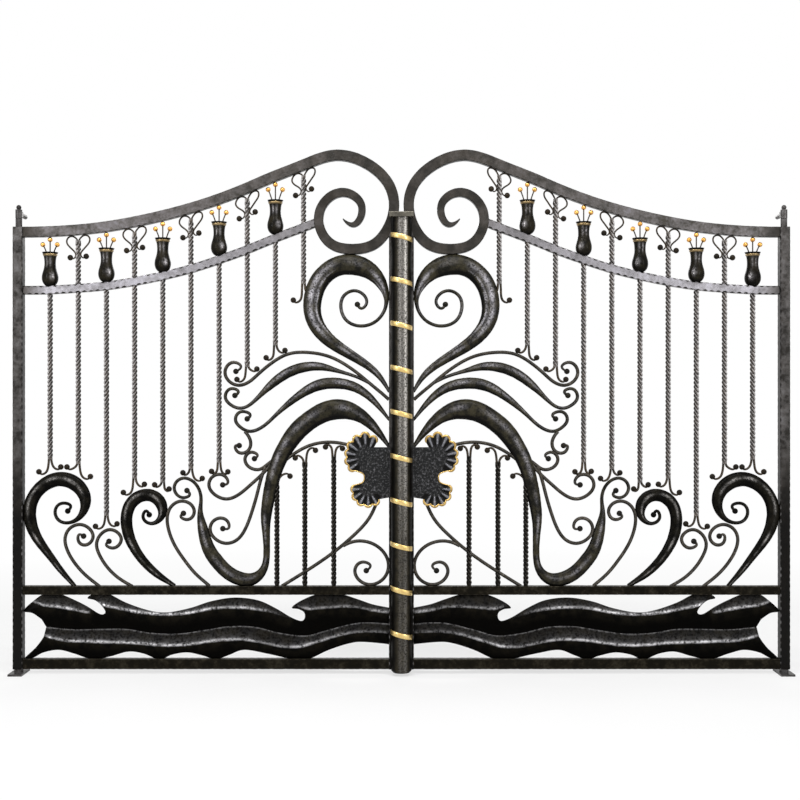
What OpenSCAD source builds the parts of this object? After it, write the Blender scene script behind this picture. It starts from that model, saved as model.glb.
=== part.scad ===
// Double-leaf wrought iron driveway gate with forged scroll and wave work.
// The origin is on the floor under the left hinge axis. X runs along the closed gate,
// the front faces -Y and Z is up. The right leaf is the left one mirrored.

/* [Leaf frame] */
// Width of one leaf, from the outer face of its hinge stile to its meeting face
leaf_w = 1547; // [1350:1:1750]
// Height of the hinge stile
stile_h = 1773; // [1550:1:2000]
// Face width of the stiles
stile_w = 40; // [30:1:50]
// Depth of the stiles
stile_d = 40; // [34:1:50]
// Gap between the floor and the underside of the leaves
ground_gap = 20; // [16:1:60]
// Gap between the two meeting stiles
meeting_gap = 20; // [12:1:30]
// Height of the bottom rail
bottom_rail_h = 41; // [30:1:55]
// Height of the waist rail
waist_rail_h = 35; // [25:1:50]
// Clear height of the wave panel between the two rails
wave_panel_h = 257; // [210:1:310]
// Depth of the straight rails
rail_d = 32; // [25:1:34]

/* [Arched rails] */
// Depth of the arched top rail and its volute
top_rail_d = 30; // [20:1:34]
// Depth of the frieze rail
frieze_rail_d = 26; // [22:1:34]

/* [Bars] */
// Side of the square picket bars
bar_w = 15; // [12:1:18]
// Side of the square bars of the grille beside the lock plate
grille_bar_w = 15; // [12:1:18]

/* [Scrolls] */
// Depth of the slim scroll bars
slim_d = 14; // [10:1:18]
// Depth of the wave bands in the foot panel, at their crests
wave_d = 30; // [16:1:32]
// Depth of the wave bands at their edges
wave_edge_d = 6; // [4:1:12]
// Distance from a crest to where the edge depth is reached
wave_fall = 130; // [110:1:160]

/* [Tulip cups] */
// Height of a cup
cup_h = 134; // [110:1:150]
// Largest diameter of a cup
cup_dia = 65; // [50:1:75]
// Diameter of a gilt bead
bead_dia = 20; // [14:1:23]
// Diameter of a stamen stalk
stalk_dia = 6; // [4:0.5:8]
// Gap between the middle bead and the top rail
bead_gap = 1; // [0.5:0.5:4]
// Drop from the middle bead to the outer ones
bead_step = 20; // [10:1:30]
// Distance from the middle bead to an outer one
bead_spread = 29; // [26:1:34]

/* [Lock plate] */
// Thickness of the lock plate
plate_t = 5; // [3:1:8]
// Width of the strip of the lock plate that lies on the meeting stile
plate_lap = 5; // [4:1:8]

/* [Cover tube] */
// Diameter of the half-round cover tube
tube_dia = 82; // [70:1:96]
// Clearance between the left leaf and the back of the cover tube
tube_gap = 11; // [9:1:16]
// Distance that the cover tube hangs below the leaves
tube_drop = 8; // [4:1:12]
// Bevel round the foot of the cover tube
foot_bevel = 8; // [4:1:14]
// Thickness of the cap plate
cap_t = 20; // [12:1:26]
// Distance that the cap plate stands out past the tube
cap_lip = 7; // [3:1:10]
// Height of a gilt band
band_h = 19; // [10:1:24]
// Distance that a gilt band stands out from the tube
band_t = 3; // [2:0.5:5]
// Spacing of the gilt bands
band_pitch = 176; // [150:1:185]
// Slant of the gilt bands in degrees
band_slant = 14; // [0:1:20]

/* [Hinges] */
// Diameter of the hinge knuckles
knuckle_dia = 27; // [22:1:34]
// Height of one knuckle
knuckle_h = 35; // [25:1:45]
// Diameter of the ball on the hinge top
hinge_ball_dia = 20; // [16:1:24]
// Diameter of the hinge pins
pin_dia = 14; // [10:1:16]
// Depth that a hinge pin reaches into the leaf
pin_depth = 30; // [20:1:34]
// Side of the square neck between the upper knuckle and its shank
neck_w = 22; // [20:1:24]
// Length of the neck from the hinge axis
neck_len = 24; // [20:1:34]
// Diameter of the shank that is built into the pillar
shank_dia = 18; // [14:1:19]
// Length of the shank from the hinge axis
shank_len = 90; // [60:1:140]
// Width of the floor plate along the gate
floor_plate_w = 56; // [46:1:90]
// Depth of the floor plate across the gate
floor_plate_d = 120; // [104:1:150]
// Thickness of the floor plate
floor_plate_t = 8; // [6:1:12]
// Diameter of the bearing boss
boss_dia = 36; // [28:1:38]
// Diameter of the anchor holes in the floor plate
anchor_dia = 12; // [8:1:14]
// Spacing of the anchor holes
anchor_pitch = 84; // [66:1:88]

/* [Hidden] */

iron = "#2b2723";
steel = "#55524e";
silver = "#8f8c86";
gold = "#d9a13a";

// Gap left at each welded seat, and the running clearance of the hinge pins
seat_gap = 0.2;
pin_gap = 0.08;
// Gap under the leaf on its bearing boss
bearing_gap = 0.3;
// Overrun of cuts
overrun = 1;

// Heights and faces of the leaf frame, in the left leaf
stile_in = stile_w / 2;
meet_in = leaf_w - stile_w / 2 - stile_w;
panel_foot = ground_gap + bottom_rail_h;
panel_top = panel_foot + wave_panel_h;
waist_top = panel_top + waist_rail_h;
stile_top = ground_gap + stile_h;
hinge_span = 2 * (leaf_w - stile_w / 2) + meeting_gap;
gate_mid = hinge_span / 2;

// Photo pixels of the same faces, which carry the scroll tables over to the leaf
stile_px = 26.1;
meet_px = 388.5;
waist_row_px = 585.7;
top_row_px = 227.2;
panel_top_row_px = 595.2;
panel_foot_row_px = 657.6;
wide = (meet_in - stile_in) / (meet_px - stile_px);
tall = (stile_top - waist_top) / (waist_row_px - top_row_px);
tall_foot = wave_panel_h / (panel_foot_row_px - panel_top_row_px);

function at_x(px) = stile_in + (px - stile_px) * wide;
function at_z(py) = waist_top + (waist_row_px - py) * tall;
function at_foot_z(py) = panel_foot + (panel_foot_row_px - py) * tall_foot;
function station(row) = [at_x(row[0]), at_z(row[1]), row[2] * tall / 2];
function foot_point(row) = [at_x(row[0]), at_foot_z(row[1])];

// Smooth curve through rows of any length
function blend(a, b, c, d, t) =
    b + (c - a) * t / 2
    + (2 * a - 5 * b + 4 * c - d) * t * t / 2
    + (3 * b - a - 3 * c + d) * t * t * t / 2;
function curve(rows, steps) = [
    for (i = [0:len(rows) - 2], k = [0:steps - 1])
        blend(rows[max(i - 1, 0)], rows[i], rows[i + 1], rows[min(i + 2, len(rows) - 1)], k / steps),
    rows[len(rows) - 1]
];

// Heading and normal of a spine at one of its stations
function flat(p) = [p[0], p[1]];
function unit(v) = v / norm(v);
function heading(spine, i) = unit(flat(spine[min(i + 1, len(spine) - 1)]) - flat(spine[max(i - 1, 0)]));
function turned(v) = [-v[1], v[0]];

// A spine that ends in a forged ball about its last station
last_ring_angle = 176;
function with_ball(spine) =
    let (centre = flat(spine[len(spine) - 1]))
    let (kept = [for (spot = spine) if (norm(flat(spot) - centre) > ball_r) spot])
    let (end = kept[len(kept) - 1], run = unit(centre - flat(end)))
    let (start = asin(min(end[2] / ball_r, 1)))
    concat(kept, [
        for (k = [1:ball_steps])
            let (angle = start + (last_ring_angle - start) * k / ball_steps)
            let (spot = centre - run * ball_r * cos(angle))
            [spot[0], spot[1], ball_r * sin(angle)]
    ]);

// Outline of a spine with its half widths, grown all round by extra
function side(spine, sign, extra) = [
    for (i = [0:len(spine) - 1])
        let (run = heading(spine, i))
        let (push = i == 0 ? -extra : (i == len(spine) - 1 ? extra : 0))
        flat(spine[i]) + turned(run) * sign * (spine[i][2] + extra) + run * push
];
function outline(spine, extra) =
    let (left = side(spine, 1, extra), right = side(spine, -1, extra))
    concat(left, [for (i = [len(right) - 1:-1:0]) right[i]]);

// Half depth of a forged scroll of a given half width: round where slim, oval where thick
oval_share = 0.45;
function half_depth(half_w) =
    half_w < slim_d / 2 ? half_w : slim_d / 2 + (half_w - slim_d / 2) * oval_share;

// Upright plate or bar of a flat shape drawn in X and Z, centred on the leaf's middle plane
module upright(depth) {
    rotate([90, 0, 0]) linear_extrude(height = depth, center = true) children();
}

// Solid through rings of points that run round alike
module loft(rings) {
    sides = len(rings[0]);
    last = len(rings) - 1;
    function at(i, k) = i * sides + k % sides;
    faces = concat(
        [[for (k = [sides - 1:-1:0]) at(0, k)]],
        [for (i = [0:last - 1], k = [0:sides - 1]) [at(i, k), at(i, k + 1), at(i + 1, k + 1), at(i + 1, k)]],
        [[for (k = [0:sides - 1]) at(last, k)]]
    );
    polyhedron([for (ring = rings, spot = ring) spot], faces, convexity = 10);
}

// Forged bar of oval section along a spine, with its ball
module forged(spine) {
    stations = with_ball(spine);
    loft([
        for (i = [0:len(stations) - 1]) [
            for (k = [0:sides_forged - 1])
                let (angle = 360 * k / sides_forged, half_w = stations[i][2])
                let (across = turned(heading(stations, i)) * half_w * cos(angle))
                [stations[i][0] + across[0], half_depth(half_w) * sin(angle), stations[i][1] + across[1]]
        ]
    ]);
}

module on_right() {
    translate([hinge_span, 0, 0]) mirror([1, 0, 0]) children();
}

// Clear space inside the frame of the leaf, above the waist rail
module clear_field() {
    translate([stile_in, waist_top]) square([meet_in - stile_in, 2 * stile_h]);
}

// Top rail: centre line and width in photo pixels
top_rail_px = [
    [20, 232.2, 10.4], [52, 231.7, 10.4], [79.7, 230, 10.4], [107.6, 226.9, 10.4], [136, 222, 10.4],
    [164.5, 215.7, 10.4], [192.4, 208.2, 10.4], [220, 199.2, 10.5], [248, 188.2, 10.6],
    [268.6, 179.2, 10.6], [302.7, 165.6, 10.7], [336.6, 155.4, 10.7], [370.7, 166.3, 10.7],
    [388.8, 185.5, 10.6], [393.6, 204, 10.5], [387.1, 229.2, 10.5], [374, 244.2, 10.5],
    [351.3, 249.3, 10.4], [331.2, 244, 10], [319.1, 223.3, 9.6], [322.2, 206, 9.2], [342.7, 192.6, 8.8],
    [361.7, 207.2, 7.6], [354.4, 224.5, 5.6], [343, 219.2, 1]
];
// Frieze rail, from the hinge stile to the volute
frieze_rail_px = [
    [20, 290.2, 8.6], [52, 290, 8.6], [80, 288.4, 8.6], [107.6, 286, 8.6], [136, 281.6, 8.6],
    [164.5, 275.8, 8.6], [192.4, 268.8, 8.6], [220, 259.8, 8.6], [248, 249.6, 8.6], [276.4, 238, 8.6],
    [302.7, 228, 8.6], [322, 220.4, 8.6]
];
// Thick forged scrolls, each from its root to its curl
heart_px = [
    [394, 402, 2.6], [387.6, 389.5, 3.4], [378.3, 375.6, 6], [361, 361.4, 8.8], [339.6, 347.9, 11.8],
    [325.2, 336.4, 14.4], [313.7, 317.5, 17], [313.6, 295.3, 18.8], [321.3, 278.4, 19.2], [336.7, 266.6, 20],
    [352.1, 264.6, 21], [370.8, 271.8, 17], [382.1, 285.4, 10.6], [386, 298.8, 5.2], [383, 312.5, 3.6],
    [374.5, 322, 3.5], [360.8, 326, 3.5], [347, 321, 3.5], [341, 309, 3.5], [343.5, 296.2, 3.5],
    [353.9, 290.7, 3.4], [364.4, 296, 3.3], [366.2, 303.6, 3.2], [361.6, 308.4, 3.1], [357.2, 304.4, 3]
];
middle_plume_px = [
    [371.2, 384.8, 2.6], [355.5, 376.6, 3.4], [336, 370.4, 4.8], [322, 366.8, 8], [307, 366.8, 10],
    [290, 372, 10.4], [272, 384.5, 8.4], [262.6, 393.4, 5.5], [253.5, 402.3, 3.8], [247, 406.8, 3.5],
    [240, 408.2, 3.5], [231.5, 404.8, 3.5], [226.2, 397.8, 3.5], [228.2, 390.8, 3.4], [233.8, 388.6, 3.3],
    [239, 391.4, 3.2], [235.6, 395.5, 3]
];
lower_plume_px = [
    [395, 428, 2], [388, 418.8, 3], [372.4, 400, 6.6], [355, 387.4, 9.8], [337.3, 383.3, 11.4],
    [320, 384.8, 11.4], [303, 393, 9], [288, 404.4, 6.2], [275.5, 415.8, 4], [261.5, 427.8, 3.6],
    [250, 431.3, 3.5], [240.3, 426.5, 3.5], [236.2, 420, 3.5], [238.5, 413.6, 3.4], [244.6, 411.6, 3.3],
    [250.8, 414.8, 3.2], [247.8, 418.9, 3]
];
swan_arm_px = [
    [396, 458, 3], [388.4, 446.4, 3.6], [375.6, 429.4, 8.6], [357.8, 414.4, 15], [342, 409.4, 20],
    [326.4, 411.4, 20.6], [312, 419, 19.4], [298.8, 430, 19], [287.4, 445.2, 17.4], [279.6, 459.6, 15.8],
    [273.4, 478.3, 14.4], [268.6, 501, 12.8], [266.4, 519, 10.4], [266.8, 537, 7.6], [267.1, 554, 6.8],
    [265.4, 566, 7.4], [260.4, 574.4, 9.8], [251, 579.6, 13], [240.4, 578.6, 14.2], [227.8, 571.8, 14.2],
    [217.2, 560.6, 14.2], [211, 551.6, 13.6], [206.2, 539, 12.2], [203, 525, 9.6], [201.2, 511, 5.2],
    [202, 499, 3.6], [199, 487.4, 3.4], [192.2, 480.2, 3.4], [184.5, 478.2, 3.4], [177.5, 482, 3.4],
    [175.4, 488.6, 3.4], [178.6, 495.2, 3.3], [184.8, 497.7, 3.2], [190.6, 495.2, 3.1], [188, 490.6, 3]
];
large_hook_px = [
    [83, 594, 4], [76.2, 585.7, 4.2], [64.6, 572.4, 6], [50.8, 554.3, 8], [39, 537.5, 10.6],
    [32.8, 521.5, 12.6], [32.6, 505.5, 13.2], [40.2, 490.6, 13.2], [50.4, 482.4, 14], [61.4, 479.2, 14.6],
    [73.2, 481.6, 15], [82.2, 488.6, 14], [87.2, 500, 11.6], [85.4, 511, 8.2], [79.2, 519.2, 5],
    [70.5, 522.8, 3.6], [62, 521.2, 3.4], [57.2, 513.4, 3.4], [59, 506.4, 3.3], [65.2, 503.2, 3.3],
    [72.4, 505.6, 3.2], [69.7, 511.1, 3]
];
small_hook_px = [
    [183, 591, 4], [175.4, 585.7, 4.2], [161, 576.2, 7], [146, 562.4, 9], [135, 546.6, 10.4],
    [129.2, 531.4, 11.6], [128, 518, 12], [131, 506.2, 12.4], [136.9, 499, 12.6], [145.6, 495.2, 12.6],
    [155.2, 496.6, 12.6], [161.8, 503, 12], [163.8, 511.6, 9.6], [160.4, 519.8, 6], [153, 523.6, 3.8],
    [146.4, 521, 3.4], [144.4, 515.8, 3.3], [147, 511, 3.2], [150.6, 514.8, 3]
];
// Slim scrolls of one width, each from its root to its curl
slim_w_px = 3.5;
whisker_px = [
    [394, 405.5], [389.4, 400.6], [371.2, 384.8], [360.3, 375.6], [345.5, 364.8], [331.2, 357.3],
    [307.5, 352.4], [288, 354.2], [273, 362.4], [258.5, 374.4], [249.5, 382], [239.5, 385.3],
    [230.2, 381.5], [225.8, 372.7], [229, 364.8], [235.5, 362.4], [241.5, 366], [236.6, 371.4]
];
upper_side_curl_px = [
    [245.4, 431.6], [249.2, 436.4], [251.3, 443], [249.2, 450], [243.2, 453.2], [237.4, 450.8], [236, 446],
    [239.9, 445.6]
];
lower_side_curl_px = [
    [276, 458.5], [267.3, 465], [260.2, 469.4], [253, 468.8], [247, 464.1], [245.6, 458.8], [248.2, 453.8],
    [253.4, 452.3], [258, 455.2], [255, 458.7]
];
upper_side_tail_px = [
    [272, 463.5], [262.5, 474.4], [251, 485], [240.8, 493.6], [228, 499], [216.4, 495.2], [209.9, 486],
    [212.4, 477.8], [219.8, 474.4], [226.8, 477.4], [228.6, 482.8], [223.5, 484.9]
];
lower_side_tail_px = [
    [266, 466.5], [261.4, 479.5], [257.4, 495], [251.6, 514.5], [245.4, 530], [238, 539.6], [228, 543.4],
    [217.9, 540.2], [211.2, 531], [212.7, 523], [220.4, 518.2], [228.4, 521.6], [229.6, 527.8],
    [223.6, 528.7]
];
first_water_px = [
    [106, 590], [100.4, 585.7], [87, 574.8], [76, 562.2], [68.6, 548.4], [67, 539], [71.2, 529],
    [81.2, 524.6], [91.2, 528.8], [94.8, 536.5], [91.2, 543.4], [85, 545], [80.2, 540.8], [80.8, 534.8],
    [85.4, 536.2]
];
second_water_px = [
    [140, 589.6], [132.6, 585.7], [118.8, 577], [108.6, 566.8], [101.4, 555.4], [98.3, 544], [101.8, 535.2],
    [110.6, 529.8], [119.4, 532.8], [122.8, 539.2], [119.3, 546.2], [113, 548], [107.8, 544.8],
    [110.6, 541.4]
];
third_water_px = [
    [216, 591.6], [210, 585.7], [198, 575.2], [185.4, 560], [175.5, 544.6], [169.6, 528.9], [168.6, 516],
    [171.8, 507.4], [180.8, 501.4], [190.6, 503.4], [195.2, 510.8], [193, 517.4], [187.2, 519.6],
    [181.8, 516.4], [184.5, 513.4]
];
arch_px = [[286, 460], [294.5, 453.7], [310, 445.5], [329, 442.2], [348, 445], [360, 450]];
diagonal_px = [
    [273, 592], [283, 585.7], [338.8, 548.2], [354.8, 534.2], [368.3, 519], [375.3, 505], [378, 497]
];
grille_curl_px = [
    [343, 546], [359.6, 541], [377.3, 546.6], [387.8, 562.4], [385, 576.2], [371.4, 584.6], [359, 580.2],
    [354.8, 569.6], [361.8, 562.2], [370, 565.4], [366, 570.7]
];
ball_px = 2.9;

steps_forged = 2;
steps_slim = 3;
sides_forged = 8;
ball_steps = 6;
ball_r = ball_px * tall;

// Rows of one width that grows slim in the last rows, from the tip back
tip_shares = [0.35, 0.65, 0.9];
function tip_share(back) = back < len(tip_shares) ? tip_shares[back] : 1;
function tapered(rows, width) = [
    for (i = [0:len(rows) - 1]) [rows[i][0], rows[i][1], width * tip_share(len(rows) - 1 - i)]
];

function thick_spine(rows) = curve([for (row = rows) station(row)], steps_forged);
function slim_spine(rows) = curve([for (row = tapered(rows, slim_w_px)) station(row)], steps_slim);
function bar_spine(rows) = curve([for (row = rows) station([row[0], row[1], slim_w_px])], steps_slim);
function rail_spine(rows) = curve([for (row = rows) station(row)], steps_slim);

top_rail_spine = rail_spine(top_rail_px);
frieze_spine = rail_spine(frieze_rail_px);
heart_spine = thick_spine(heart_px);
middle_plume_spine = thick_spine(middle_plume_px);
lower_plume_spine = thick_spine(lower_plume_px);
swan_spine = thick_spine(swan_arm_px);
large_hook_spine = thick_spine(large_hook_px);
small_hook_spine = thick_spine(small_hook_px);
whisker_spine = slim_spine(whisker_px);
upper_side_curl_spine = slim_spine(upper_side_curl_px);
lower_side_curl_spine = slim_spine(lower_side_curl_px);
upper_side_tail_spine = slim_spine(upper_side_tail_px);
lower_side_tail_spine = slim_spine(lower_side_tail_px);
first_water_spine = slim_spine(first_water_px);
second_water_spine = slim_spine(second_water_px);
third_water_spine = slim_spine(third_water_px);
arch_spine = bar_spine(arch_px);
diagonal_spine = bar_spine(diagonal_px);
grille_curl_spine = slim_spine(grille_curl_px);

// Picket bars: even spacing, then the end of each twist and its two ball ends
first_bar_px = 52.2;
bar_step_px = 27.95;
bar_count = 10;
bar_feet_px = [
    [459.4, [41.1, 471.8], [62.8, 467]],
    [464, [68.9, 467], [92.2, 476.6]],
    [515.8, [97.2, 526.4], [118.6, 523.9]],
    [478.5, [124.9, 492.5], [145.8, 484.3]],
    [482.4, [155.9, 484.8], [170.3, 489]],
    [469, [184, 472.8], [203.2, 478.5]],
    [462.3, [212.4, 471.4], [228.6, 471.8]],
    [366.8, [237.6, 379.4], [257.4, 369]],
    [345.3, [266.6, 357.7], [285.3, 350.4]],
    [284, [293.6, 300.1], [310, 290.4]]
];
bar_rests = [
    [large_hook_spine], [large_hook_spine], [first_water_spine, second_water_spine], [small_hook_spine],
    [small_hook_spine, swan_spine], [swan_spine], [upper_side_tail_spine], [whisker_spine], [whisker_spine],
    [heart_spine]
];
tail_w_px = 2.4;
// Heart of a picket bar, from the bar to one ball end: across and down from the rail's middle
heart_top_px = [
    [0, 12.8], [2.4, 8], [6.4, 5.8], [10.5, 7.6], [11.4, 11.4], [8.4, 16.4], [4.1, 21], [2.4, 24.6],
    [4.6, 28.2], [7.9, 27]
];
heart_w_px = 2.4;

function bar_px(i) = first_bar_px + i * bar_step_px;
function is_long(i) = i % 2 == 1;

// Height of a spine at a distance along the leaf
function height_at(spine, x) =
    let (i = [for (k = [0:len(spine) - 2]) if (spine[k][0] <= x && spine[k + 1][0] > x) k][0])
    let (t = (x - spine[i][0]) / (spine[i + 1][0] - spine[i][0]))
    spine[i][1] + t * (spine[i + 1][1] - spine[i][1]);

// Grille bars: place, end of the twist and ball ends
grille_bars_px = [
    [277.3, 482, [[290.3, 476.2]]],
    [305, 462.3, [[295.5, 458], [315.6, 450.4]]],
    [333.7, 456.5, [[325.5, 447], [342.4, 448.5]]]
];

module scroll_shape(spine, extra = 0) {
    polygon(outline(spine, extra));
}

// Flat shape of a scroll that ends in a ball about its last station
module curl_shape(spine, extra = 0) {
    scroll_shape(spine, extra);
    translate(flat(spine[len(spine) - 1])) circle(r = ball_r + extra, $fn = 24);
}

// Seats that a piece leaves for the curls that it leans on
module seats(spines) {
    for (spine = spines) curl_shape(spine, seat_gap);
}

// Slim tail of a split bar: it drops from the bar and turns up into a ball, or the other way up.
// Each row has its reach and drop as shares of the way to the ball, and its dip as a share of the ball.
tail_shares = [[0.05, 0.45, 0], [0.42, 1, 0.55], [0.8, 1, 0.8], [1, 1, 0]];
function tail_spine(x_px, end_row_px, ball, up) =
    let (root_px = x_px + sign(ball[0] - x_px) * tail_w_px / 2)
    let (rows = concat([[root_px, end_row_px - up * tail_w_px]], [
        for (share = tail_shares)
            [
                root_px + (ball[0] - root_px) * share[0],
                end_row_px + (ball[1] - end_row_px) * share[1] + up * ball_px * share[2]
            ]
    ]))
    curve([for (row = tapered(rows, tail_w_px)) station(row)], steps_slim);

// One lobe of the heart at the head of a long bar, along the slope of the top rail
function lobe_spine(x_px, out) =
    let (x = at_x(x_px), level = height_at(top_rail_spine, x))
    let (rise = height_at(top_rail_spine, x + bar_w) - height_at(top_rail_spine, x - bar_w))
    curve([
        for (row = tapered(heart_top_px, heart_w_px))
            let (along = out * row[0] * wide)
            [x + along, level + along * rise / (2 * bar_w) - row[1] * tall, row[2] * tall / 2]
    ], steps_slim);

// Flat shape of one picket bar with its head and foot
module picket_shape(i) {
    foot = bar_feet_px[i];
    x = at_x(bar_px(i));
    head = is_long(i)
        ? height_at(top_rail_spine, x) - heart_top_px[0][1] * tall + heart_w_px * tall
        : height_at(frieze_spine, x);
    difference() {
        union() {
            translate([x - bar_w / 2, at_z(foot[0])]) square([bar_w, head - at_z(foot[0])]);
            for (ball = [foot[1], foot[2]]) curl_shape(tail_spine(bar_px(i), foot[0], ball, 1));
            if (is_long(i)) for (out = [-1, 1]) curl_shape(lobe_spine(bar_px(i), out));
        }
        if (is_long(i)) scroll_shape(top_rail_spine, seat_gap);
        else scroll_shape(frieze_spine, seat_gap);
        seats(bar_rests[i]);
    }
}

module picket_bars() color(steel) {
    for (i = [0:bar_count - 1]) upright(bar_w) picket_shape(i);
}

module grille_bars() color(iron) {
    for (bar = grille_bars_px) upright(grille_bar_w) difference() {
        union() {
            translate([at_x(bar[0]) - grille_bar_w / 2, waist_top])
                square([grille_bar_w, at_z(bar[1]) - waist_top]);
            for (ball = bar[2]) curl_shape(tail_spine(bar[0], bar[1], ball, -1));
        }
        seats([swan_spine]);
        scroll_shape(arch_spine, seat_gap);
    }
}

module hinge_stile() color(steel) difference() {
    union() {
        translate([-stile_w / 2, -stile_d / 2, ground_gap]) cube([stile_w, stile_d, stile_h]);
        translate([0, 0, stile_top]) cylinder(h = knuckle_h, d = knuckle_dia, $fn = 48);
    }
    translate([0, 0, ground_gap - overrun])
        cylinder(h = pin_depth + 2 * overrun, d = pin_dia + 2 * pin_gap, $fn = 48);
    translate([0, 0, stile_top + knuckle_h - pin_depth - overrun])
        cylinder(h = pin_depth + 2 * overrun, d = pin_dia + 2 * pin_gap, $fn = 48);
}

stile_head_row_px = 222;
module meeting_stile() color(steel) upright(stile_d) difference() {
    translate([meet_in, ground_gap]) square([stile_w, at_z(stile_head_row_px) - ground_gap]);
    scroll_shape(top_rail_spine, seat_gap);
}

module straight_rail(foot, height) {
    translate([stile_in, -rail_d / 2, foot]) cube([meet_in - stile_in, rail_d, height]);
}

module bottom_rail() color(steel) straight_rail(ground_gap, bottom_rail_h);

module waist_rail() color(iron) straight_rail(panel_top, waist_rail_h);

module top_rail() color(steel) upright(top_rail_d) intersection() {
    scroll_shape(top_rail_spine);
    translate([stile_in, 0]) square([leaf_w, 2 * stile_h]);
}

module frieze_rail() color(silver) difference() {
    upright(frieze_rail_d) difference() {
        intersection() {
            scroll_shape(frieze_spine);
            translate([stile_in, 0]) square([leaf_w, 2 * stile_h]);
        }
        scroll_shape(top_rail_spine, seat_gap);
    }
    hole = bar_w + 2 * seat_gap;
    for (i = [0:bar_count - 1]) if (is_long(i))
        translate([at_x(bar_px(i)) - hole / 2, -hole / 2, waist_top]) cube([hole, hole, stile_h]);
}

// Cup profile: radius as a share of the largest diameter, height as a share of the cup
cup_outer_shares = [
    [0.22, -0.16], [0.26, 0], [0.38, 0.06], [0.465, 0.14], [0.5, 0.23], [0.49, 0.33], [0.45, 0.45],
    [0.395, 0.58], [0.36, 0.7], [0.36, 0.8], [0.4, 0.9], [0.45, 0.96], [0.49, 1]
];
cup_inner_shares = [[0.43, 1], [0.36, 0.92], [0.3, 0.86], [0, 0.84]];
cup_floor_share = 0.84;
// Distance of an outer stalk's root from the middle, as a share of the stalk
stamen_root_share = 1.5;

// Half of a rail's height on the upright line at a distance along the leaf
function half_height_at(spine, x) =
    let (rise = height_at(spine, x + bar_w) - height_at(spine, x - bar_w), half_w = spine[0][2])
    half_w * norm([2 * bar_w, rise]) / (2 * bar_w);

function cup_foot(i) =
    let (x = at_x(bar_px(i)))
    height_at(frieze_spine, x) + half_height_at(frieze_spine, x);

// Height of the middle bead, which rests under the top rail
function bead_z(i) =
    let (x = at_x(bar_px(i)))
    height_at(top_rail_spine, x) - half_height_at(top_rail_spine, x) - bead_dia / 2 - bead_gap;

module tulip_cups() color(iron) {
    for (i = [0:bar_count - 1]) if (!is_long(i)) difference() {
        translate([at_x(bar_px(i)), 0, cup_foot(i)]) rotate_extrude($fn = 48)
            polygon(concat(
                [[0, cup_outer_shares[0][1] * cup_h]],
                [for (row = cup_outer_shares) [row[0] * cup_dia, row[1] * cup_h]],
                [for (row = cup_inner_shares) [row[0] * cup_dia, row[1] * cup_h]]
            ));
        upright(2 * stile_d) scroll_shape(frieze_spine, seat_gap);
    }
}

module stamen(root, lean, rise) {
    run = sqrt(lean * lean + rise * rise);
    translate(root) rotate([0, atan2(lean, rise), 0]) {
        cylinder(h = run, d = stalk_dia, $fn = 24);
        translate([0, 0, run]) sphere(d = bead_dia, $fn = 32);
    }
}

module gilt_stamens() color(gold) {
    root_x = stamen_root_share * stalk_dia;
    for (i = [0:bar_count - 1]) if (!is_long(i)) {
        floor_z = cup_foot(i) + cup_floor_share * cup_h;
        rise = bead_z(i) - floor_z;
        translate([at_x(bar_px(i)), 0, floor_z]) {
            stamen([0, 0, seat_gap], 0, rise - seat_gap);
            for (out = [-1, 1])
                stamen([out * root_x, 0, stalk_dia / 2], out * (bead_spread - root_x), rise - bead_step);
        }
    }
}

module in_frame() {
    intersection() {
        children();
        upright(4 * stile_d) clear_field();
    }
}

module heart_scroll() color(iron) difference() {
    in_frame() forged(heart_spine);
    upright(4 * stile_d) scroll_shape(top_rail_spine, seat_gap);
}

module plumes() color(iron) {
    difference() {
        in_frame() forged(middle_plume_spine);
        upright(4 * stile_d) seats([whisker_spine]);
    }
    difference() {
        in_frame() forged(lower_plume_spine);
        upright(4 * stile_d) seats([middle_plume_spine]);
    }
}

module swan_arm() color(iron) in_frame() forged(swan_spine);

module wave_hooks() color(iron) {
    in_frame() forged(large_hook_spine);
    in_frame() forged(small_hook_spine);
}

// Slim scroll that is cut back to the frame, to the curls that it leans on and to the shape given with it
module slim_scroll(spine, rests) {
    upright(slim_d) difference() {
        intersection() {
            curl_shape(spine);
            clear_field();
        }
        seats(rests);
        children();
    }
}

module slim_scrolls() color(iron) {
    slim_scroll(whisker_spine, [heart_spine]);
    slim_scroll(upper_side_curl_spine, [lower_plume_spine]);
    slim_scroll(lower_side_curl_spine, [upper_side_curl_spine, swan_spine]);
    slim_scroll(upper_side_tail_spine, [lower_side_curl_spine, swan_spine]);
    slim_scroll(lower_side_tail_spine, [upper_side_tail_spine, swan_spine]);
    slim_scroll(first_water_spine, [large_hook_spine]);
    slim_scroll(second_water_spine, [first_water_spine, small_hook_spine]);
    slim_scroll(third_water_spine, [small_hook_spine, swan_spine]);
}

module grille_scrolls() color(iron) {
    upright(slim_d) difference() {
        scroll_shape(arch_spine);
        seats([swan_spine]);
    }
    upright(slim_d) difference() {
        intersection() {
            scroll_shape(diagonal_spine);
            clear_field();
        }
        for (bar = grille_bars_px)
            translate([at_x(bar[0]) - grille_bar_w / 2 - seat_gap, 0])
                square([grille_bar_w + 2 * seat_gap, stile_h]);
    }
    slim_scroll(grille_curl_spine, []) scroll_shape(diagonal_spine, seat_gap);
}

// Lock plate: lobes of the two fans, in order round the outline, and the hollow between them
plate_lobe_px = 4.4;
upper_lobes_px = [
    [353, 466.5], [350, 460.5], [350, 453.3], [352, 446], [357.5, 440], [365, 437], [372.5, 440.5]
];
lower_lobes_px = [[374.5, 500], [368, 501.8], [361.5, 500.3], [357, 495.5], [356, 489]];
plate_waist_px = [[363, 481.5], [363.4, 474]];
plate_notch_px = [374, 447];
plate_foot_row_px = 497;
lobe_steps = 6;

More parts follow.
